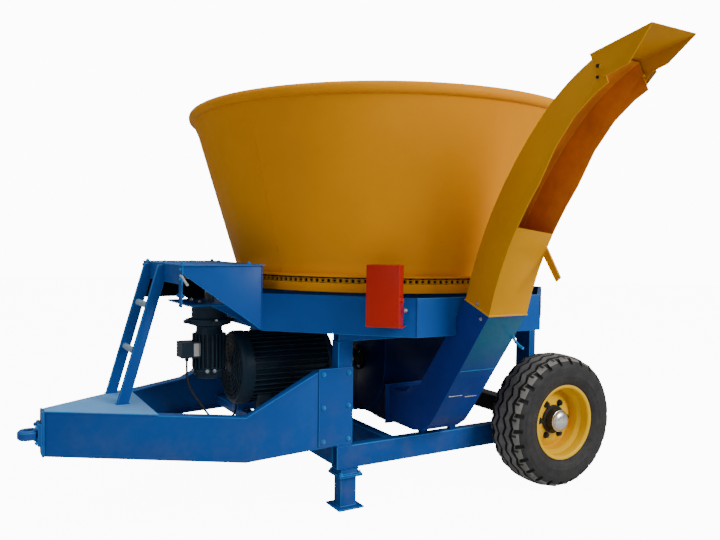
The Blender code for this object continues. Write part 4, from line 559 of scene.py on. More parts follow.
def rounded_copy(node, width, surfaces):
    """A copy of a CAD node with rounded edges, which replaces it."""
    source = frame["nodes"][node]
    lined = LINED.get(node)
    cutters = [cutter(*row) for row in CORNERS_OFF.get(node, ())]
    shape = bmesh.new()
    shape.from_mesh(source.data)
    bmesh.ops.remove_doubles(shape, verts=shape.verts, dist=SAME_POINT)
    for face in shape.faces:
        face.material_index = 2 if lined and lined(face) else 0
        face.smooth = True
    bmesh.ops.dissolve_limit(shape, angle_limit=math.radians(FLAT), verts=shape.verts, edges=shape.edges,
                             delimit={"MATERIAL"})
    piece = add_object(f"{node}_finish", to_mesh(node, shape), surfaces)
    for tool in cutters:
        step = piece.modifiers.new("corner off", "BOOLEAN")
        step.operation = "DIFFERENCE"
        step.solver = "EXACT"
        step.object = tool
    with_bevel(piece, width)
    for tool in cutters:
        bpy.data.objects.remove(tool, do_unlink=True)
    return dress(piece, source["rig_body"], (node,))


# Geometry Nodes builders

def node_group(name, inputs):
    """A geometry node tree with a mesh input and named inputs; returns the tree, its input and output."""
    tree = bpy.data.node_groups.new(name, "GeometryNodeTree")
    tree.interface.new_socket("Geometry", in_out="INPUT", socket_type="NodeSocketGeometry")
    for label, kind, value in inputs:
        socket = tree.interface.new_socket(label, in_out="INPUT", socket_type=kind)
        if value is not None:
            socket.default_value = value
    tree.interface.new_socket("Geometry", in_out="OUTPUT", socket_type="NodeSocketGeometry")
    return tree, add_node(tree, "NodeGroupInput"), add_node(tree, "NodeGroupOutput")


def end_group(tree, entry, leave, geometry):
    """Finish a tree with real geometry in the tree's material."""
    real = add_node(tree, "GeometryNodeRealizeInstances")
    paint = add_node(tree, "GeometryNodeSetMaterial")
    wire(tree, geometry, real.inputs["Geometry"], real.outputs["Geometry"], paint.inputs["Geometry"],
         entry.outputs["Material"], paint.inputs["Material"], paint.outputs["Geometry"], leave.inputs["Geometry"])
    return tree


def cylinder_node(tree, sides, radius, depth, rise):
    """A short cylinder whose foot stands at a height; radius, depth and rise are sockets or numbers."""
    solid = add_node(tree, "GeometryNodeMeshCylinder", {"Vertices": sides})
    spot = add_node(tree, "ShaderNodeCombineXYZ")
    moved = add_node(tree, "GeometryNodeTransform")
    wire(tree, radius, solid.inputs["Radius"], depth, solid.inputs["Depth"],
         calculate(tree, "MULTIPLY_ADD", depth, 0.5, rise), spot.inputs["Z"],
         solid.outputs["Mesh"], moved.inputs["Geometry"], spot.outputs["Vector"], moved.inputs["Translation"])
    return moved.outputs["Geometry"]


def fastener_group():
    """Hexagon head on a washer with the end of its thread, at every point, along the point's axis."""
    tree, entry, leave = node_group("fasteners", (
        ("Head radius", "NodeSocketFloat", 0.009), ("Washer share", "NodeSocketFloat", 1.25),
        ("Material", "NodeSocketMaterial", None)))
    radius = entry.outputs["Head radius"]
    washer, head, thread_r, thread = (calculate(tree, "MULTIPLY", radius, share)
                                      for share in (0.22, 0.78, 0.55, 0.3))
    wide = calculate(tree, "MULTIPLY", radius, entry.outputs["Washer share"])
    parts = add_node(tree, "GeometryNodeJoinGeometry")
    for piece in (cylinder_node(tree, 20, wide, washer, 0.0), cylinder_node(tree, 6, radius, head, washer),
                  cylinder_node(tree, 10, thread_r, thread, calculate(tree, "ADD", washer, head))):
        wire(tree, piece, parts.inputs["Geometry"])
    axis = add_node(tree, "GeometryNodeInputNamedAttribute", {"Name": "axis"}, data_type="FLOAT_VECTOR")
    size = add_node(tree, "GeometryNodeInputNamedAttribute", {"Name": "size"}, data_type="FLOAT")
    turn = add_node(tree, "FunctionNodeAlignRotationToVector", axis="Z")
    spread = add_node(tree, "GeometryNodeInstanceOnPoints")
    wire(tree, axis.outputs["Attribute"], turn.inputs["Vector"], entry.outputs["Geometry"], spread.inputs["Points"],
         parts.outputs["Geometry"], spread.inputs["Instance"], turn.outputs["Rotation"], spread.inputs["Rotation"],
         size.outputs["Attribute"], spread.inputs["Scale"])
    return end_group(tree, entry, leave, spread.outputs["Instances"])


def weld_group():
    """Overlapping rounded beads along every run of edges."""
    tree, entry, leave = node_group("weld_beads", (
        ("Bead radius", "NodeSocketFloat", 0.0035), ("Bead step", "NodeSocketFloat", 0.0045),
        ("Seed", "NodeSocketInt", 3), ("Material", "NodeSocketMaterial", None)))
    curve = add_node(tree, "GeometryNodeMeshToCurve")
    spaced = add_node(tree, "GeometryNodeResampleCurve", mode="LENGTH")
    points = add_node(tree, "GeometryNodeCurveToPoints", mode="EVALUATED")
    bead = add_node(tree, "GeometryNodeMeshIcoSphere", {"Subdivisions": 2})
    spread = add_node(tree, "GeometryNodeInstanceOnPoints")
    uneven = add_node(tree, "FunctionNodeRandomValue", data_type="FLOAT")
    uneven.inputs[2].default_value = 0.82
    uneven.inputs[3].default_value = 1.12
    wire(tree, entry.outputs["Geometry"], curve.inputs["Mesh"], curve.outputs["Curve"], spaced.inputs["Curve"],
         entry.outputs["Bead step"], spaced.inputs["Length"], spaced.outputs["Curve"], points.inputs["Curve"],
         entry.outputs["Bead radius"], bead.inputs["Radius"], entry.outputs["Seed"], uneven.inputs["Seed"],
         points.outputs["Points"], spread.inputs["Points"], bead.outputs["Mesh"], spread.inputs["Instance"],
         uneven.outputs[1], spread.inputs["Scale"])
    return end_group(tree, entry, leave, spread.outputs["Instances"])


def link_group():
    """The instance object at every point of a ring, turned to face outwards."""
    tree, entry, leave = node_group("chain_links", (
        ("Link", "NodeSocketObject", None), ("Material", "NodeSocketMaterial", None)))
    link = add_node(tree, "GeometryNodeObjectInfo")
    place = add_node(tree, "GeometryNodeInputPosition")
    outward = add_node(tree, "ShaderNodeVectorMath", operation="MULTIPLY")
    outward.inputs[1].default_value = (1.0, 1.0, 0.0)
    turn = add_node(tree, "FunctionNodeAlignRotationToVector", axis="X", pivot_axis="Z")
    spread = add_node(tree, "GeometryNodeInstanceOnPoints")
    wire(tree, entry.outputs["Link"], link.inputs["Object"], place.outputs["Position"], outward.inputs[0],
         outward.outputs["Vector"], turn.inputs["Vector"], entry.outputs["Geometry"], spread.inputs["Points"],
         link.outputs["Geometry"], spread.inputs["Instance"], turn.outputs["Rotation"], spread.inputs["Rotation"])
    return end_group(tree, entry, leave, spread.outputs["Instances"])


def run_group(piece, tree, values):
    """Run a geometry node tree on a piece, keep the result as its mesh and take the tree off."""
    step = piece.modifiers.new(tree.name, "NODES")
    step.node_group = tree
    names = {item.name: item.identifier for item in tree.interface.items_tree if item.in_out == "INPUT"}
    for label, value in values.items():
        step[names[label]] = value
    applied(piece)
    piece.data.set_sharp_from_angle(angle=math.radians(GROUP_SHARP))
    return piece


def point_piece(name, points, edges=(), shifted=True):
    """An object of loose points of the machine frame, joined by edges."""
    mesh = bpy.data.meshes.new(name)
    mesh.from_pydata([machine(*point) for point in points] if shifted else points, edges, [])
    return add_object(name, mesh)


def add_fasteners(name, body, surface, rows):
    """Screws from rows of point, axis and head radius."""
    piece = point_piece(name, [row[0] for row in rows])
    for label, kind, field, values in (
            ("axis", "FLOAT_VECTOR", "vector", [part for row in rows for part in row[1]]),
            ("size", "FLOAT", "value", [row[2] / HEAD_R for row in rows])):
        piece.data.attributes.new(label, kind, "POINT").data.foreach_set(field, values)
    run_group(piece, FASTENERS, {"Head radius": HEAD_R, "Washer share": 1.25, "Material": surface})
    return dress(piece, body)


def add_welds(name, body, surface, runs, radius):
    """Weld beads along runs of points."""
    points, edges = [], []
    for run in runs:
        first = len(points)
        points.extend(run)
        edges.extend((first + k, first + k + 1) for k in range(len(run) - 1))
    piece = point_piece(name, points, edges)
    run_group(piece, WELDS, {"Bead radius": radius, "Bead step": radius * 1.3, "Seed": 3, "Material": surface})
    return dress(piece, body)


# Camera, floor and lights

def place_camera():
    """Camera at the photograph's place, angle and field of view."""
    yaw, pitch, roll = (math.radians(angle) for angle in (CAMERA_YAW, CAMERA_PITCH, CAMERA_ROLL))
    level = Vector((math.sin(yaw), math.cos(yaw), 0.0))
    side = Vector((math.cos(yaw), -math.sin(yaw), 0.0))
    up = Vector((0.0, 0.0, 1.0))
    forward = level * math.cos(pitch) + up * math.sin(pitch)
    upright = up * math.cos(pitch) - level * math.sin(pitch)
    right = side * math.cos(roll) + upright * math.sin(roll)
    top = upright * math.cos(roll) - side * math.sin(roll)
    data = bpy.data.cameras.new("photo_camera")
    data.sensor_width = SENSOR
    data.lens = FOCAL_PIXELS * SENSOR / PHOTO_WIDTH
    data.clip_start = 0.05
    data.clip_end = 100.0
    camera = bpy.data.objects.new("photo_camera", data)
    turn = Matrix((right, top, -forward)).transposed().to_4x4()
    camera.matrix_world = Matrix.Translation(machine(*CAMERA_AT)) @ turn
    bpy.context.scene.collection.objects.link(camera)
    bpy.context.scene.camera = camera


def backdrop_surface(name, glow, albedo):
    """Pale matt surface that also glows evenly."""
    made, _, shader = new_surface(name)
    for key, value in (("Base Color", (albedo, albedo, albedo, 1.0)), ("Roughness", 0.9),
                       ("Emission Color", (1.0, 1.0, 1.0, 1.0)), ("Emission Strength", glow)):
        shader.inputs[key].default_value = value
    return made


def only_seen(piece):
    """Let a studio surface be seen without lighting the machine."""
    piece.visible_diffuse = False
    piece.visible_glossy = False
    piece.visible_transmission = False
    piece.visible_shadow = False


def ground_square(name, z):
    """A wide square at a height under the machine."""
    shape = bmesh.new()
    ways = ((-1, -1), (1, -1), (1, 1), (-1, 1))
    shape.faces.new([shape.verts.new((x * FLOOR_REACH, y * FLOOR_REACH, z)) for x, y in ways])
    return to_mesh(name, shape)


def lay_floor():
    """Pale studio floor and dome that only the camera sees, and a matt ground that only throws light back."""
    only_seen(add_object("studio_floor", ground_square("studio_floor", -0.0005),
                         [backdrop_surface("pale_floor", 11.0, 0.85)]))
    bounce = add_object("studio_ground", ground_square("studio_ground", -0.0025),
                        [backdrop_surface("matt_ground", 0.0, 0.6)])
    bounce.visible_camera = False
    shape = bmesh.new()
    bmesh.ops.create_uvsphere(shape, u_segments=48, v_segments=24, radius=FLOOR_REACH * 0.9)
    bmesh.ops.reverse_faces(shape, faces=shape.faces)
    only_seen(add_object("studio_dome", to_mesh("studio_dome", shape), [backdrop_surface("pale_dome", 12.0, 0.0)]))


def add_light(name, at, aim, size, power):
    """A soft square light that looks at a point."""
    data = bpy.data.lights.new(name, "AREA")
    data.shape = "SQUARE"
    data.size = size
    data.energy = power
    light = bpy.data.objects.new(name, data)
    light.location = machine(*at)
    light.rotation_euler = (machine(*aim) - light.location).to_track_quat("-Z", "Y").to_euler()
    bpy.context.scene.collection.objects.link(light)


def light_studio():
    """Bright sky above, dim ground below, a key from above the near right, a weak fill and a top light."""
    world = bpy.data.worlds.new("studio_world")
    world.use_nodes = True
    tree = world.node_tree
    back = tree.nodes["Background"]
    back.inputs["Color"].default_value = (0.97, 0.985, 1.0, 1.0)
    wire(tree, by_height(tree, -0.05, 0.5, 0.08, 0.56, output="Generated"), back.inputs["Strength"])
    bpy.context.scene.world = world
    for row in LIGHTS:
        add_light(*row)


# Cable between the motors

def smooth_route(points, step):
    """Points about a step apart on a smooth curve through the route's points."""
    path = [Vector(point) for point in points]
    path = [path[0] * 2 - path[1]] + path + [path[-1] * 2 - path[-2]]
    dense = []
    parts = 12
    for a, b, c, d in zip(path, path[1:], path[2:], path[3:]):
        for t in (k / parts for k in range(parts)):
            bend = (c - a) * t + (a * 2 - b * 5 + c * 4 - d) * t ** 2 + (b * 3 - a - c * 3 + d) * t ** 3
            dense.append(b + bend / 2)
    dense.append(path[-2])
    length = run_length(dense)
    spacing = length / round(length / step)
    taken, walked = [dense[0]], 0.0
    for a, b in zip(dense, dense[1:]):
        walked += (b - a).length
        if walked >= spacing * len(taken) - 1e-6:
            taken.append(b)
    taken[-1] = dense[-1]
    return taken


def run_length(points):
    """Length of a run of points."""
    return sum((b - a).length for a, b in zip(points, points[1:]))


def make_motor_cable():
    """Round sheathed cable from the gear motor's gland to the main motor's gland."""
    points = smooth_route(CABLE_ROUTE, CABLE_STEP)
    piece = make_piece("motor_cable_sheath", shape_of(add_pipe, points, CABLE_R, CABLE_SIDES), [SHEATH], "chassis",
                       ("motor_cable",))


# Tub and its chain

def cone_r(z):
    """Outer radius of the tub's wall at a height."""
    return TUB_BASE_R + (TUB_RIM_R - TUB_BASE_R) * (z - TUB_BASE_Z) / (TUB_RIM_Z - TUB_BASE_Z)


def tub_profile():
    """Section of the tub: base band with its groove for the chain, wall and rolled rim."""
    seat = CHAIN_INNER_R - 0.0003
    lip_top = CHAIN_Z - CHAIN_HEIGHT / 2 - 0.0003
    ledge_low = CHAIN_Z + CHAIN_HEIGHT / 2 + 0.006
    ledge_top = ledge_low + 0.01
    channel_top = lip_top - 0.01
    channel_r = BAND_R - BAND_WALL
    bead_low, bead_r = TUB_RIM_Z - RIM_BEAD_HEIGHT, RIM_BEAD_HEIGHT / 2
    profile = [
        (TUB_BASE_R - TUB_SHEET, TUB_BASE_Z), (TUB_BASE_R + 0.004, TUB_BASE_Z),
        (cone_r(channel_top) + 0.002, channel_top), (channel_r, channel_top), (channel_r, TUB_BASE_Z),
        (BAND_R - 0.002, TUB_BASE_Z), (BAND_R, TUB_BASE_Z + 0.002), (BAND_R, lip_top - 0.002),
        (BAND_R - 0.002, lip_top), (seat, lip_top), (seat, ledge_low), (BAND_R - 0.001, ledge_low),
        (BAND_R, ledge_low + 0.001), (BAND_R, ledge_top - 0.001), (BAND_R - 0.001, ledge_top),
        (cone_r(ledge_top) + 0.008, ledge_top), (cone_r(ledge_top) + 0.003, ledge_top + 0.002),
        (cone_r(ledge_top) + 0.002, ledge_top + 0.008),
    ]
    heights = [ledge_top + 0.008 + (bead_low - ledge_top - 0.016) * k / WALL_ROWS for k in range(1, WALL_ROWS)]
    profile.extend((cone_r(z), z) for z in heights)
    for k in range(BEAD_ROWS + 1):
        turn = math.pi * (k / BEAD_ROWS - 0.5)
        profile.append((TUB_RIM_R - RIM_ROLL + (RIM_BEAD_OUT + RIM_ROLL) * math.cos(turn),
                        bead_low + bead_r + bead_r * math.sin(turn)))
    return profile + [(TUB_RIM_R - TUB_SHEET - RIM_ROLL, TUB_RIM_Z)]


def make_tub():
    """Rolled conical wall with rim bead, base band and drag fins."""
    shape = bmesh.new()
    rings = [[along("Z", z, a, b) for a, b in circle(radius, TUB_SEGMENTS)] for radius, z in tub_profile()]
    faces = skin(shape, rings, wrap=True)
    # Rows behind the chain take the near-black surface: grease and painted shade in the recess.
    for row in GREASE_AND_SHADE_ROWS:
        for face in faces[row * TUB_SEGMENTS:(row + 1) * TUB_SEGMENTS]:
            face.material_index = 1
    fin = ((cone_r(FIN_FOOT_Z) - 0.002, FIN_FOOT_Z), (cone_r(FIN_FOOT_Z) - FIN_DEPTH, FIN_FOOT_Z + FIN_DEPTH * 0.5),
           (cone_r(FIN_TOP_Z) - FIN_DEPTH, FIN_TOP_Z - FIN_DEPTH * 0.5), (cone_r(FIN_TOP_Z) - 0.002, FIN_TOP_Z))
    for k in range(FIN_COUNT):
        made = add_prism(shape, fin, "Y", -FIN_THICKNESS / 2, FIN_THICKNESS / 2)
        swing(shape, made, 2 * math.pi * (k + 0.25) / FIN_COUNT, "Z")
    make_piece("tub_rolled_wall", shape, [YELLOW, GREASE_AND_SHADE], "tub", ("tub_wall",), sharp=28.0)


def link_plate(shape, start, z):
    """One waisted plate of the chain between two pins, along Y at the chain's radius."""
    outline = []
    for end, way in ((start + LINK_PITCH, 1), (start, -1)):
        for turn in range(-75, 100, 25):
            a, b = heading(turn)
            outline.append((-way * LINK_WIDE * b, end + way * LINK_WIDE * a))
        outline.append((-way * LINK_WAIST, start + LINK_PITCH / 2))
    add_prism(shape, outline, "Z", *z)


def make_chain():
    """Roller chain laid round the tub: inner and outer links by turns, a roller on every pin."""
    shape = bmesh.new()
    half = CHAIN_HEIGHT / 2
    tall = half - 2 * LINK_PLATE - 0.001
    for start, low in ((-LINK_PITCH, half - 2 * LINK_PLATE - 0.0006), (0.0, half - LINK_PLATE - 0.0004)):
        for side in (-1, 1):
            link_plate(shape, start, sorted((side * low, side * (low + LINK_PLATE))))
    for end in (-LINK_PITCH, 0.0):
        for radius, rise, count in ((CHAIN_ROLLER_R, tall, 14), (CHAIN_PIN_R, half, 10)):
            turn_profile(shape, ((0.0, -rise), (radius, -rise), (radius, rise), (0.0, rise)), count, "Z", (0.0, end))
    bmesh.ops.recalc_face_normals(shape, faces=shape.faces)
    pair = add_object("link_pair", to_mesh("link_pair", shape))
    step = 720.0 / LINK_COUNT
    piece = point_piece("tub_chain", [(*(CHAIN_R * part for part in heading(k * step)), CHAIN_Z)
                                      for k in range(LINK_COUNT // 2)], shifted=False)
    run_group(piece, link_group(), {"Link": pair, "Material": CHAIN_PAINT})
    piece.data.transform(Matrix.Translation(SHIFT))
    bpy.data.objects.remove(pair, do_unlink=True)
    dress(piece, "tub", ("tub_pin_ring",))


# Wheels

def tyre_crown(y):
    """Radius of the tread's surface at a distance from the middle plane."""
    if y < CROWN_HALF:
        return TYRE_R - CROWN_DROP * (y / CROWN_HALF) ** 2.4
    return TYRE_R - CROWN_DROP - SHOULDER_DROP * ((y - CROWN_HALF) / SHOULDER) ** 1.5


def tyre_half(phase, side):
    """One side of the tyre's section at a share of a tread pitch, from the middle to the bead."""
    place = (phase + (0.5 if side < 0 else 0.0)) % 1.0
    slotted = SLOT_SHARE[0] < place < SLOT_SHARE[1]
    half = []
    for y, cut in TREAD_SECTION:
        sway = ZIGZAG * (4 * abs(place - 0.5) - 1) * min(1.0, y / 0.02) if y < SWAY_END else 0.0
        depth = TREAD_DEPTH * cut
        if cut == SLOTTED:
            depth = SLOT_DEPTH * min(1.0, (0.129 - y) / 0.02) if slotted else 0.0
        half.append((tyre_crown(y) - depth, side * y + sway))
    return half + [(radius, side * y) for radius, y in TYRE_WALL]


def tyre_shape():
    """Tyre about the Y axis; the second surface is for the tread's blocks."""
    shape = bmesh.new()
    rings = []
    for pitch in range(TREAD_PITCHES):
        for phase in PHASES:
            a, b = heading(360.0 * (pitch + phase) / TREAD_PITCHES)
            row = tyre_half(phase, -1)[::-1] + tyre_half(phase, 1)[1:]
            rings.append([(r * a, y, r * b) for r, y in row])
    for face in skin(shape, rings, wrap=True):
        middle = face.calc_center_median()
        if abs(middle.y) < 0.112 and math.hypot(middle.x, middle.z) > tyre_crown(abs(middle.y)) - 0.0025:
            face.material_index = 1
    return shape


def turned_shape(count, *profiles):
    """Turned solids about the Y axis."""
    shape = bmesh.new()
    for profile in profiles:
        turn_profile(shape, profile, count, "Y")
    return shape


def make_wheels():
    """Tyres, rims, hubs, caps and nuts."""
    for name, side in (("left", 1), ("right", -1)):
        centre = (WHEEL_AT[0], side * WHEEL_AT[1], WHEEL_AT[2])
        body = f"wheel_{name}"
        for title, shape, surfaces, slot, replaces, sharp in (
                (f"tyre_tread_{name}", tyre_shape(), [TYRE, TREAD], "tyre_rubber", (f"tyre_{name}",), 26.0),
                (f"rim_{name}", turned_shape(96, RIM, DISC), [WHEEL_YELLOW], "yellow_paint",
                 (f"wheel_rim_{name}",), SHARP),
                (f"hub_{name}", turned_shape(48, HUB), [BLACK], "black_paint", (f"wheel_hub_{name}",), SHARP),
                (f"hub_cap_{name}", turned_shape(48, HUB_CAP), [CAP_SILVER], "bare_steel", (), SHARP)):
            if side < 0:
                mirrored(shape)
            bmesh.ops.translate(shape, verts=shape.verts, vec=Vector(centre))
            make_piece(title, shape, surfaces, body, replaces, sharp=sharp)
        rows = []
        for k in range(NUT_COUNT):
            a, b = heading(360.0 * k / NUT_COUNT)
            rows.append(((centre[0] + NUT_CIRCLE * a, centre[1] + side * 0.0142, centre[2] + NUT_CIRCLE * b),
                         (0.0, side, 0.0), NUT_R))
        add_fasteners(f"wheel_nuts_{name}", body, BLACK, rows)


# Motors

def ribbed_ring(shape, axis, centre, reach, count, span, thick):
    """Cooling fins stood round a motor's body."""
    limits = {"X": (span, reach), "Z": (reach, span)}[axis]
    for k in range(count):
        fin = add_box(shape, limits[0], (-thick / 2, thick / 2), limits[1])
        swing(shape, fin, 2 * math.pi * (k + 0.5) / count, axis, centre)


def make_main_motor():
    """Finned motor with grilled cowl, end bell, feet and terminal box."""
    shape = bmesh.new()
    middle, shaft = (0.0, SHAFT_Z), (0.0, 0.0, SHAFT_Z)
    turn_profile(shape, ((0.0, -0.929), (MOTOR_R, -0.929), (MOTOR_R, -0.44), (0.0, -0.44)), 64, "X", middle)
    ribbed_ring(shape, "X", shaft, (MOTOR_R - 0.002, MOTOR_FIN_R), MOTOR_FINS, (-0.918, -0.462), 0.005)
    turn_profile(shape, MOTOR_COWL, 96, "X", middle)
    turn_profile(shape, MOTOR_BELL, 64, "X", middle)
    for radius in (0.04 + 0.0245 * k for k in range(GRILLE_RINGS)):
        turn_profile(shape, ((radius, -0.9945), (radius + 0.006, -0.9945), (radius + 0.006, -0.9905),
                             (radius, -0.9905)), 64, "X", middle)
    turn_profile(shape, ((0.0, -0.996), (0.03, -0.996), (0.032, -0.994), (0.032, -0.99), (0.0, -0.99)),
                 32, "X", middle)
    ribbed_ring(shape, "X", shaft, (0.028, 0.18), GRILLE_SPOKES, (-0.9925, -0.9885), 0.008)
    for x in ((-0.88, -0.8), (-0.59, -0.51)):
        for side in (-1, 1):
            foot = ((0.095, 0.535), (0.13, 0.56), (0.15, 0.5), (0.204, 0.477), (0.204, 0.4552), (0.121, 0.4552))
            add_prism(shape, [(side * y, z) for y, z in foot], "X", *x)
    add_box(shape, (-0.79, -0.62), (0.11, 0.235), (SHAFT_Z + 0.06, SHAFT_Z + 0.178))
    add_box(shape, (-0.789, -0.621), (0.111, 0.234), (SHAFT_Z + 0.18, SHAFT_Z + 0.1895))
    turn_profile(shape, MOTOR_GLAND, 24, "X", CABLE_ROUTE[-1][1:])
    make_piece("main_motor_finish", shape, [MOTOR, MOTOR_HIGHLIGHT], "chassis", ("main_motor",), 0.0012)
    # Near-black disc inside the cowl behind the grille: painted shade.
    hollow = ((0.0, -0.9895), (0.188, -0.984), (0.188, -0.97), (0.0, -0.97))
    make_piece("cowl_hollow", shape_of(turn_profile, hollow, 48, "X", middle), [GREASE_AND_SHADE], "chassis")


def make_gear_motor():
    """Flange, worm housing with ears, finned motor and terminal box under the motor plate."""
    shape = bmesh.new()
    low, high = GEAR_TOP - 0.29, GEAR_TOP - 0.205
    turn_profile(shape, [(radius, GEAR_TOP - drop) for radius, drop in GEAR_BODY], 64, "Z", (GEAR_X, 0.0))
    ribbed_ring(shape, "Z", (GEAR_X, 0.0, 0.0), (0.073, 0.0925), GEAR_FINS, (GEAR_TOP - 0.35, GEAR_TOP - 0.165),
                0.0035)
    for reach, half in ((0.138, 0.021), (0.021, 0.138)):
        add_box(shape, (GEAR_X - reach, GEAR_X + reach), (-half, half), (GEAR_TOP - 0.107, GEAR_TOP - 0.089))
    add_box(shape, (GEAR_X - 0.153, GEAR_X - 0.06), (-0.054, 0.054), (low, high))
    add_box(shape, (GEAR_X - 0.165, GEAR_X - 0.1545), (-0.055, 0.055), (low, high))
    turn_profile(shape, ((0.0, low + 0.001), (0.011, low + 0.001), (0.011, low - 0.018),
                         (0.0085, low - 0.0219), (0.0, low - 0.0219)), 24, "Z", CABLE_ROUTE[0][:2])
    for turn in GEAR_BOLT_TURNS:
        lug = add_box(shape, (0.076, 0.088), (-0.013, 0.013), (GEAR_TOP - 0.378, GEAR_TOP - 0.345))
        swing(shape, lug, math.radians(turn), "Z", (GEAR_X, 0.0, 0.0))
    make_piece("gear_motor_finish", shape, [MOTOR, MOTOR_HIGHLIGHT], "chassis", ("gear_motor",), 0.001)
    make_piece("blank_data_plate", shape_of(add_box, *DATA_PLATE), [PLATE, PLATE], "chassis",
               bevel=0.0005)


# Structure

def chute_offset(point):
    """How far a point of the machine frame lies inside the chute's outer wall."""
    y, z = CHUTE_START
    for first, last, radius in (CHUTE_FIRST, CHUTE_SECOND):
        a, b = math.radians(first), math.radians(last)
        centre = Vector((y - radius * math.cos(a), z - radius * math.sin(a)))
        arm = Vector((point.y, point.z)) - centre
        if math.degrees(math.atan2(arm.y, arm.x)) <= last or last == CHUTE_SECOND[1]:
            return radius - arm.length
        y, z = centre.x + radius * math.cos(b), centre.y + radius * math.sin(b)


def inside_chute(face):
    """Whether a face of the chute looks into its channel."""
    points = [vert.co - SHIFT for vert in face.verts]
    for wall in (DUCT_X[0] + CHUTE_SHEET, DUCT_X[1] - CHUTE_SHEET):
        if all(abs(point.x - wall) < 0.0003 for point in points):
            return True
    return any(all(abs(chute_offset(point) - depth) < 0.0012 for point in points)
               for depth in (CHUTE_SHEET, CHUTE_DEPTH - CHUTE_SHEET))


def facing(axis, way):
    """A test for faces that look one way along an axis."""
    return lambda face: way * face.normal[axis] > 0.9


def outer_duct_face(face):
    """Whether a face is the outer wall of the rising duct."""
    return face.normal.y < -0.7 and face.normal.z < -0.4


def on_rung(face):
    """Whether a face of the ladder belongs to a rung."""
    low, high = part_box("ladder")
    inner = 0.0275
    return all(low.y + inner < vert.co.y < high.y - inner for vert in face.verts) and abs(face.normal.y) < 0.5


def both(name):
    """The names of a left and a right node."""
    return f"{name}_left", f"{name}_right"


# CAD nodes that keep their shape and get rounded edges: rounding, surfaces, slot, nodes
# Frame paint, its paler copy as a painted highlight on rounded edges, and near-black painted shade for the inside of
# the drive housing.
FRAME_SURFACES = (BLUE, BLUE_HIGHLIGHT, SHADE_BLUE)
ROUNDED = (
    (0.0018, FRAME_SURFACES, "blue_paint", (
        "pan_skirt", "pan_floor", *both("drive_side"), "deck_plate", "drive_fascia", "motor_plate",
        *both("clamp_plate"))),
    (0.0026, FRAME_SURFACES, "blue_paint", (
        "motor_base", *both("drawbar_side"), "drawbar_nose_plate", *both("parking_leg"))),
    (0.004, FRAME_SURFACES, "blue_paint", (
        *both("lower_beam"), *both("top_rail"), *both("front_post"), *both("rear_post"), "cross_member_front",
        "cross_member_middle", "rear_cross_rail")),
    (0.0018, (MILL_SHADE_BLUE, DUCT_SHADE_BLUE), "blue_paint", ("mill_housing",)),
    (0.0018, (DUCT_SHADE_BLUE, BLUE, DUCT_BAND), "blue_paint", ("discharge_duct",)),
    (0.0026, (TOP_LIT_BLUE, BLUE_HIGHLIGHT), "blue_paint", ("drawbar_top_plate",)),
    (0.0012, (RED, RED_HIGHLIGHT), "red_paint", (*both("roller_guard_front"), "roller_guard_rear")),
    (0.0015, (BLUE, BLUE_HIGHLIGHT), "blue_paint", ("tow_eye",)),
    (0.0012, (CHUTE_YELLOW, YELLOW_HIGHLIGHT, LINING), "yellow_paint", ("chute",)),
    (0.0009, (CHUTE_YELLOW, YELLOW_HIGHLIGHT), "yellow_paint", ("chute_deflector",)),
    (0.003, (BLACK, BLACK_HIGHLIGHT), "black_paint", ("axle",)),
    (0.0025, (BLUE, BLUE_HIGHLIGHT, RUNG), "blue_paint", ("ladder",)),
    (0.0008, (STEEL, STEEL), "bare_steel", ("drive_sprocket",)),
    (0.0015, (STEEL, STEEL), "bare_steel", ("mill_rotor",)),
    (0.0015, (BLACK, BLACK_HIGHLIGHT), "black_paint", ("rotor_bearing_front", "rotor_bearing_rear", "shaft_coupling")),
    (0.001, (STEEL, STEEL), "bare_steel", (*both("tub_roller_front"), "tub_roller_rear")),
)
# Which faces of a node get its third surface: painted shade inside the drive housing, the duct's outer wall with its
# painted light and shade, the chute's lining and the ladder's rungs
LINED = {"drive_side_left": facing(1, -1), "drive_side_right": facing(1, 1), "deck_plate": facing(2, -1),
         "drive_fascia": facing(0, 1), "discharge_duct": outer_duct_face, "chute": inside_chute, "ladder": on_rung}
# What is cut from a node's corners: outline, and limits along X
CORNERS_OFF = {"chute": ((CHUTE_LIP_CUT, -0.3, 0.2),),
               "chute_deflector": ((CHEEK_CUT, -0.3, 0.2), (FAR_CHEEK_CUT, 0.0785, 0.2))}


def make_structure():
    """Frame, pan, housings, chute, guards, rotor and rollers with rounded edges."""
    for width, surfaces, slot, nodes in ROUNDED:
        for node in nodes:
            rounded_copy(node, width, surfaces)


def make_small_pieces():
    """Handle of the stay pin, cord hook on the duct, link plate of the deflector, and the drive's near-black screen
    as painted shade.
    """
    handle = shape_of(add_pipe, PIN_HANDLE, 0.0065, 14)
    hook = shape_of(add_pipe, smooth_route(CORD_HOOK, 0.006), 0.0068, 16)
    make_piece("stay_pin_handle", handle, [ZINC], "chassis")
    make_piece("duct_cord_hook", hook, [BLUE_HIGHLIGHT], "chassis")
    plate, screen = shape_of(add_prism, *LINK_PLATE_SOLID), shape_of(add_prism, *DRIVE_SHADE_SCREEN)
    make_piece("deflector_link_plate", plate, [ZINC, ZINC], "deflector", bevel=0.0006)
    make_piece("drive_screen", screen, [SHADE_BLUE, SHADE_BLUE], "chassis", bevel=0.0006)


# Screws and welds

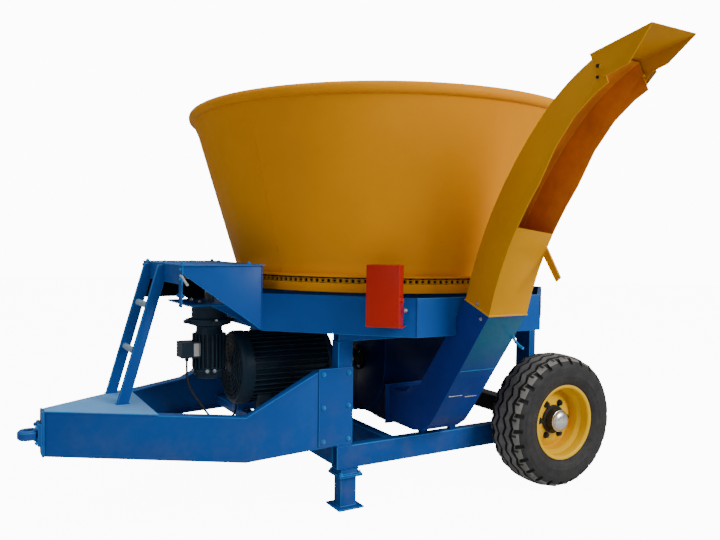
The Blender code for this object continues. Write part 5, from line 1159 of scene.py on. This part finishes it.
def screw_rows():
    """Painted and plated screws of the chassis: point, axis, head radius."""
    painted = [((x, y, 1.2664), UP, 0.01) for x, y in DECK_SCREWS]
    plated = []
    for side in (-1, 1):
        painted += [((x, side * 0.5914, z), (0.0, side, 0.0), 0.01)
                    for x in (-0.705, -0.56) for z in (0.372, 0.545, 0.715)]
        painted += [((-0.545 + dx, side * 0.538 + dy, 0.1822), UP, 0.01)
                    for dx in (-0.054, 0.054) for dy in (-0.054, 0.054)]
        painted += [((-1.9734, side * 0.038, z), FORWARD, 0.011) for z in (0.392, 0.468)]
        painted += [((-1.3754, side * 0.385, z), FORWARD, 0.008) for z in (1.195, 1.245)]
        painted += [((x, side * 0.337, 0.9268), DOWN, 0.0075) for x in (-0.15, 0.0, 0.15, 0.3, 0.43)]
        plated += [((x, side * 0.18, 0.486), (0.0, side * 0.39, 0.92), 0.011) for x in (-0.84, -0.55)]
        plated.append(((-0.4629, side * 0.9525, 1.064), (0.7071, side * 0.7071, 0.0), 0.011))
    for a, b in map(heading, (45, 135, 225, 315)):
        plated.append(((GEAR_X + 0.108 * a, 0.108 * b, 1.0552), UP, 0.0095))
        plated += [((x, 0.062 * a, SHAFT_Z + 0.062 * b), way, 0.007)
                   for x, way in ((-0.1853, FORWARD), (0.46, BACK))]
    for a, b in map(heading, GEAR_BOLT_TURNS):
        plated.append(((GEAR_X + 0.0879 * a, 0.0879 * b, GEAR_TOP - 0.362), (a, b, 0.0), 0.008))
    for a, b in map(heading, (0, 90, 180, 270)):
        plated.append(((GEAR_X + 0.124 * a, 0.124 * b, GEAR_TOP - 0.0891), UP, 0.008))
    plated += [((DUCT_X[0] - 0.0002, y, z), FORWARD, 0.0075) for y, z in ((-1.122, 1.1), (-1.15, 1.03))]
    return painted, plated


def make_fasteners():
    """Screws on every body that has them."""
    painted, plated = screw_rows()
    add_fasteners("painted_screws", "chassis", BLUE_HIGHLIGHT, painted)
    add_fasteners("plated_screws", "chassis", ZINC, plated)
    # The deflector's and chute's screws get near-black heads where dark holes show: painted shade.
    cheeks = [((x, -1.819, 2.073), way, 0.0065) for x, way in ((-0.1691, FORWARD), (0.0841, BACK))]
    add_fasteners("deflector_screws", "deflector", GREASE_AND_SHADE, cheeks)
    lip = [((DUCT_X[0] - 0.0002, -1.811, 2.033), FORWARD, 0.0055)]
    add_fasteners("chute_screw", "chassis", GREASE_AND_SHADE, lip)


def rect_run(x, y, z):
    """A closed run of points round a level rectangle."""
    return [(x[0], y[0], z), (x[1], y[0], z), (x[1], y[1], z), (x[0], y[1], z), (x[0], y[0], z)]


def frame_runs():
    """Weld runs of the frame, pan and drive housing."""
    runs = [[(PAN_CORNER_R * a, PAN_CORNER_R * b, z) for z in (PAN_Z[0] + 0.004, PAN_Z[1] - 0.004)]
            for a, b in (heading(22.5 + 45 * k) for k in range(8))]
    for side in (-1, 1):
        outer, inner = side * 0.583, side * 0.513
        runs += [
            rect_run((-0.619, -0.535), (outer, inner), 0.3305), rect_run((-0.619, -0.535), (outer, inner), 0.875),
            rect_run((0.7, 0.747), (outer, side * 0.463), 0.4305),
            rect_run((-0.595, -0.495), (side * 0.588, side * 0.488), 0.208),
            [(-1.37, side * 0.399, 1.2602), (-0.967, side * 0.399, 1.2602)],
            [(-0.9665, side * 0.3995, 1.255), (-0.9665, side * 0.3995, 0.94)],
            [(-1.935, side * 0.046, 0.5382), (-1.475, side * 0.347, 0.5382)],
        ]
    return runs + [[(-1.612, y, 0.545), (-1.548, y, 0.545)] for y in (-0.06, -0.032, 0.242, 0.27)]


def make_welds():
    """Weld beads of the tub, the frame and the duct."""
    seams = [[((cone_r(z) + 0.0002) * a, (cone_r(z) + 0.0002) * b, z) for z in (1.226, 2.064)]
             for a, b in map(heading, TUB_SEAM_TURNS)]
    add_welds("tub_seams", "tub", YELLOW, seams, 0.0016)
    add_welds("frame_welds", "chassis", BLUE, frame_runs(), 0.0032)
    across = [[(x, -(z * DUCT_FACE[1] - DUCT_FACE[2]) / DUCT_FACE[0] - 0.0008, z) for x in ends]
              for ends, z in (((-0.152, 0.067), 0.752), ((-0.138, -0.055), 0.604), ((-0.028, 0.046), 0.592))]
    add_welds("duct_seam", "chassis", BLUE_HIGHLIGHT, across[:1], 0.0018)
    add_welds("duct_stitches", "chassis", ZINC, across[1:], 0.0022)


def write_sizes():
    """Update the view layer."""
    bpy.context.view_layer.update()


FASTENERS, WELDS = fastener_group(), weld_group()
for step in (place_camera, make_motor_cable, lay_floor, light_studio, make_tub, make_chain, make_structure,
             make_wheels, make_main_motor, make_gear_motor, make_small_pieces, make_fasteners, make_welds,
             write_sizes):
    step()
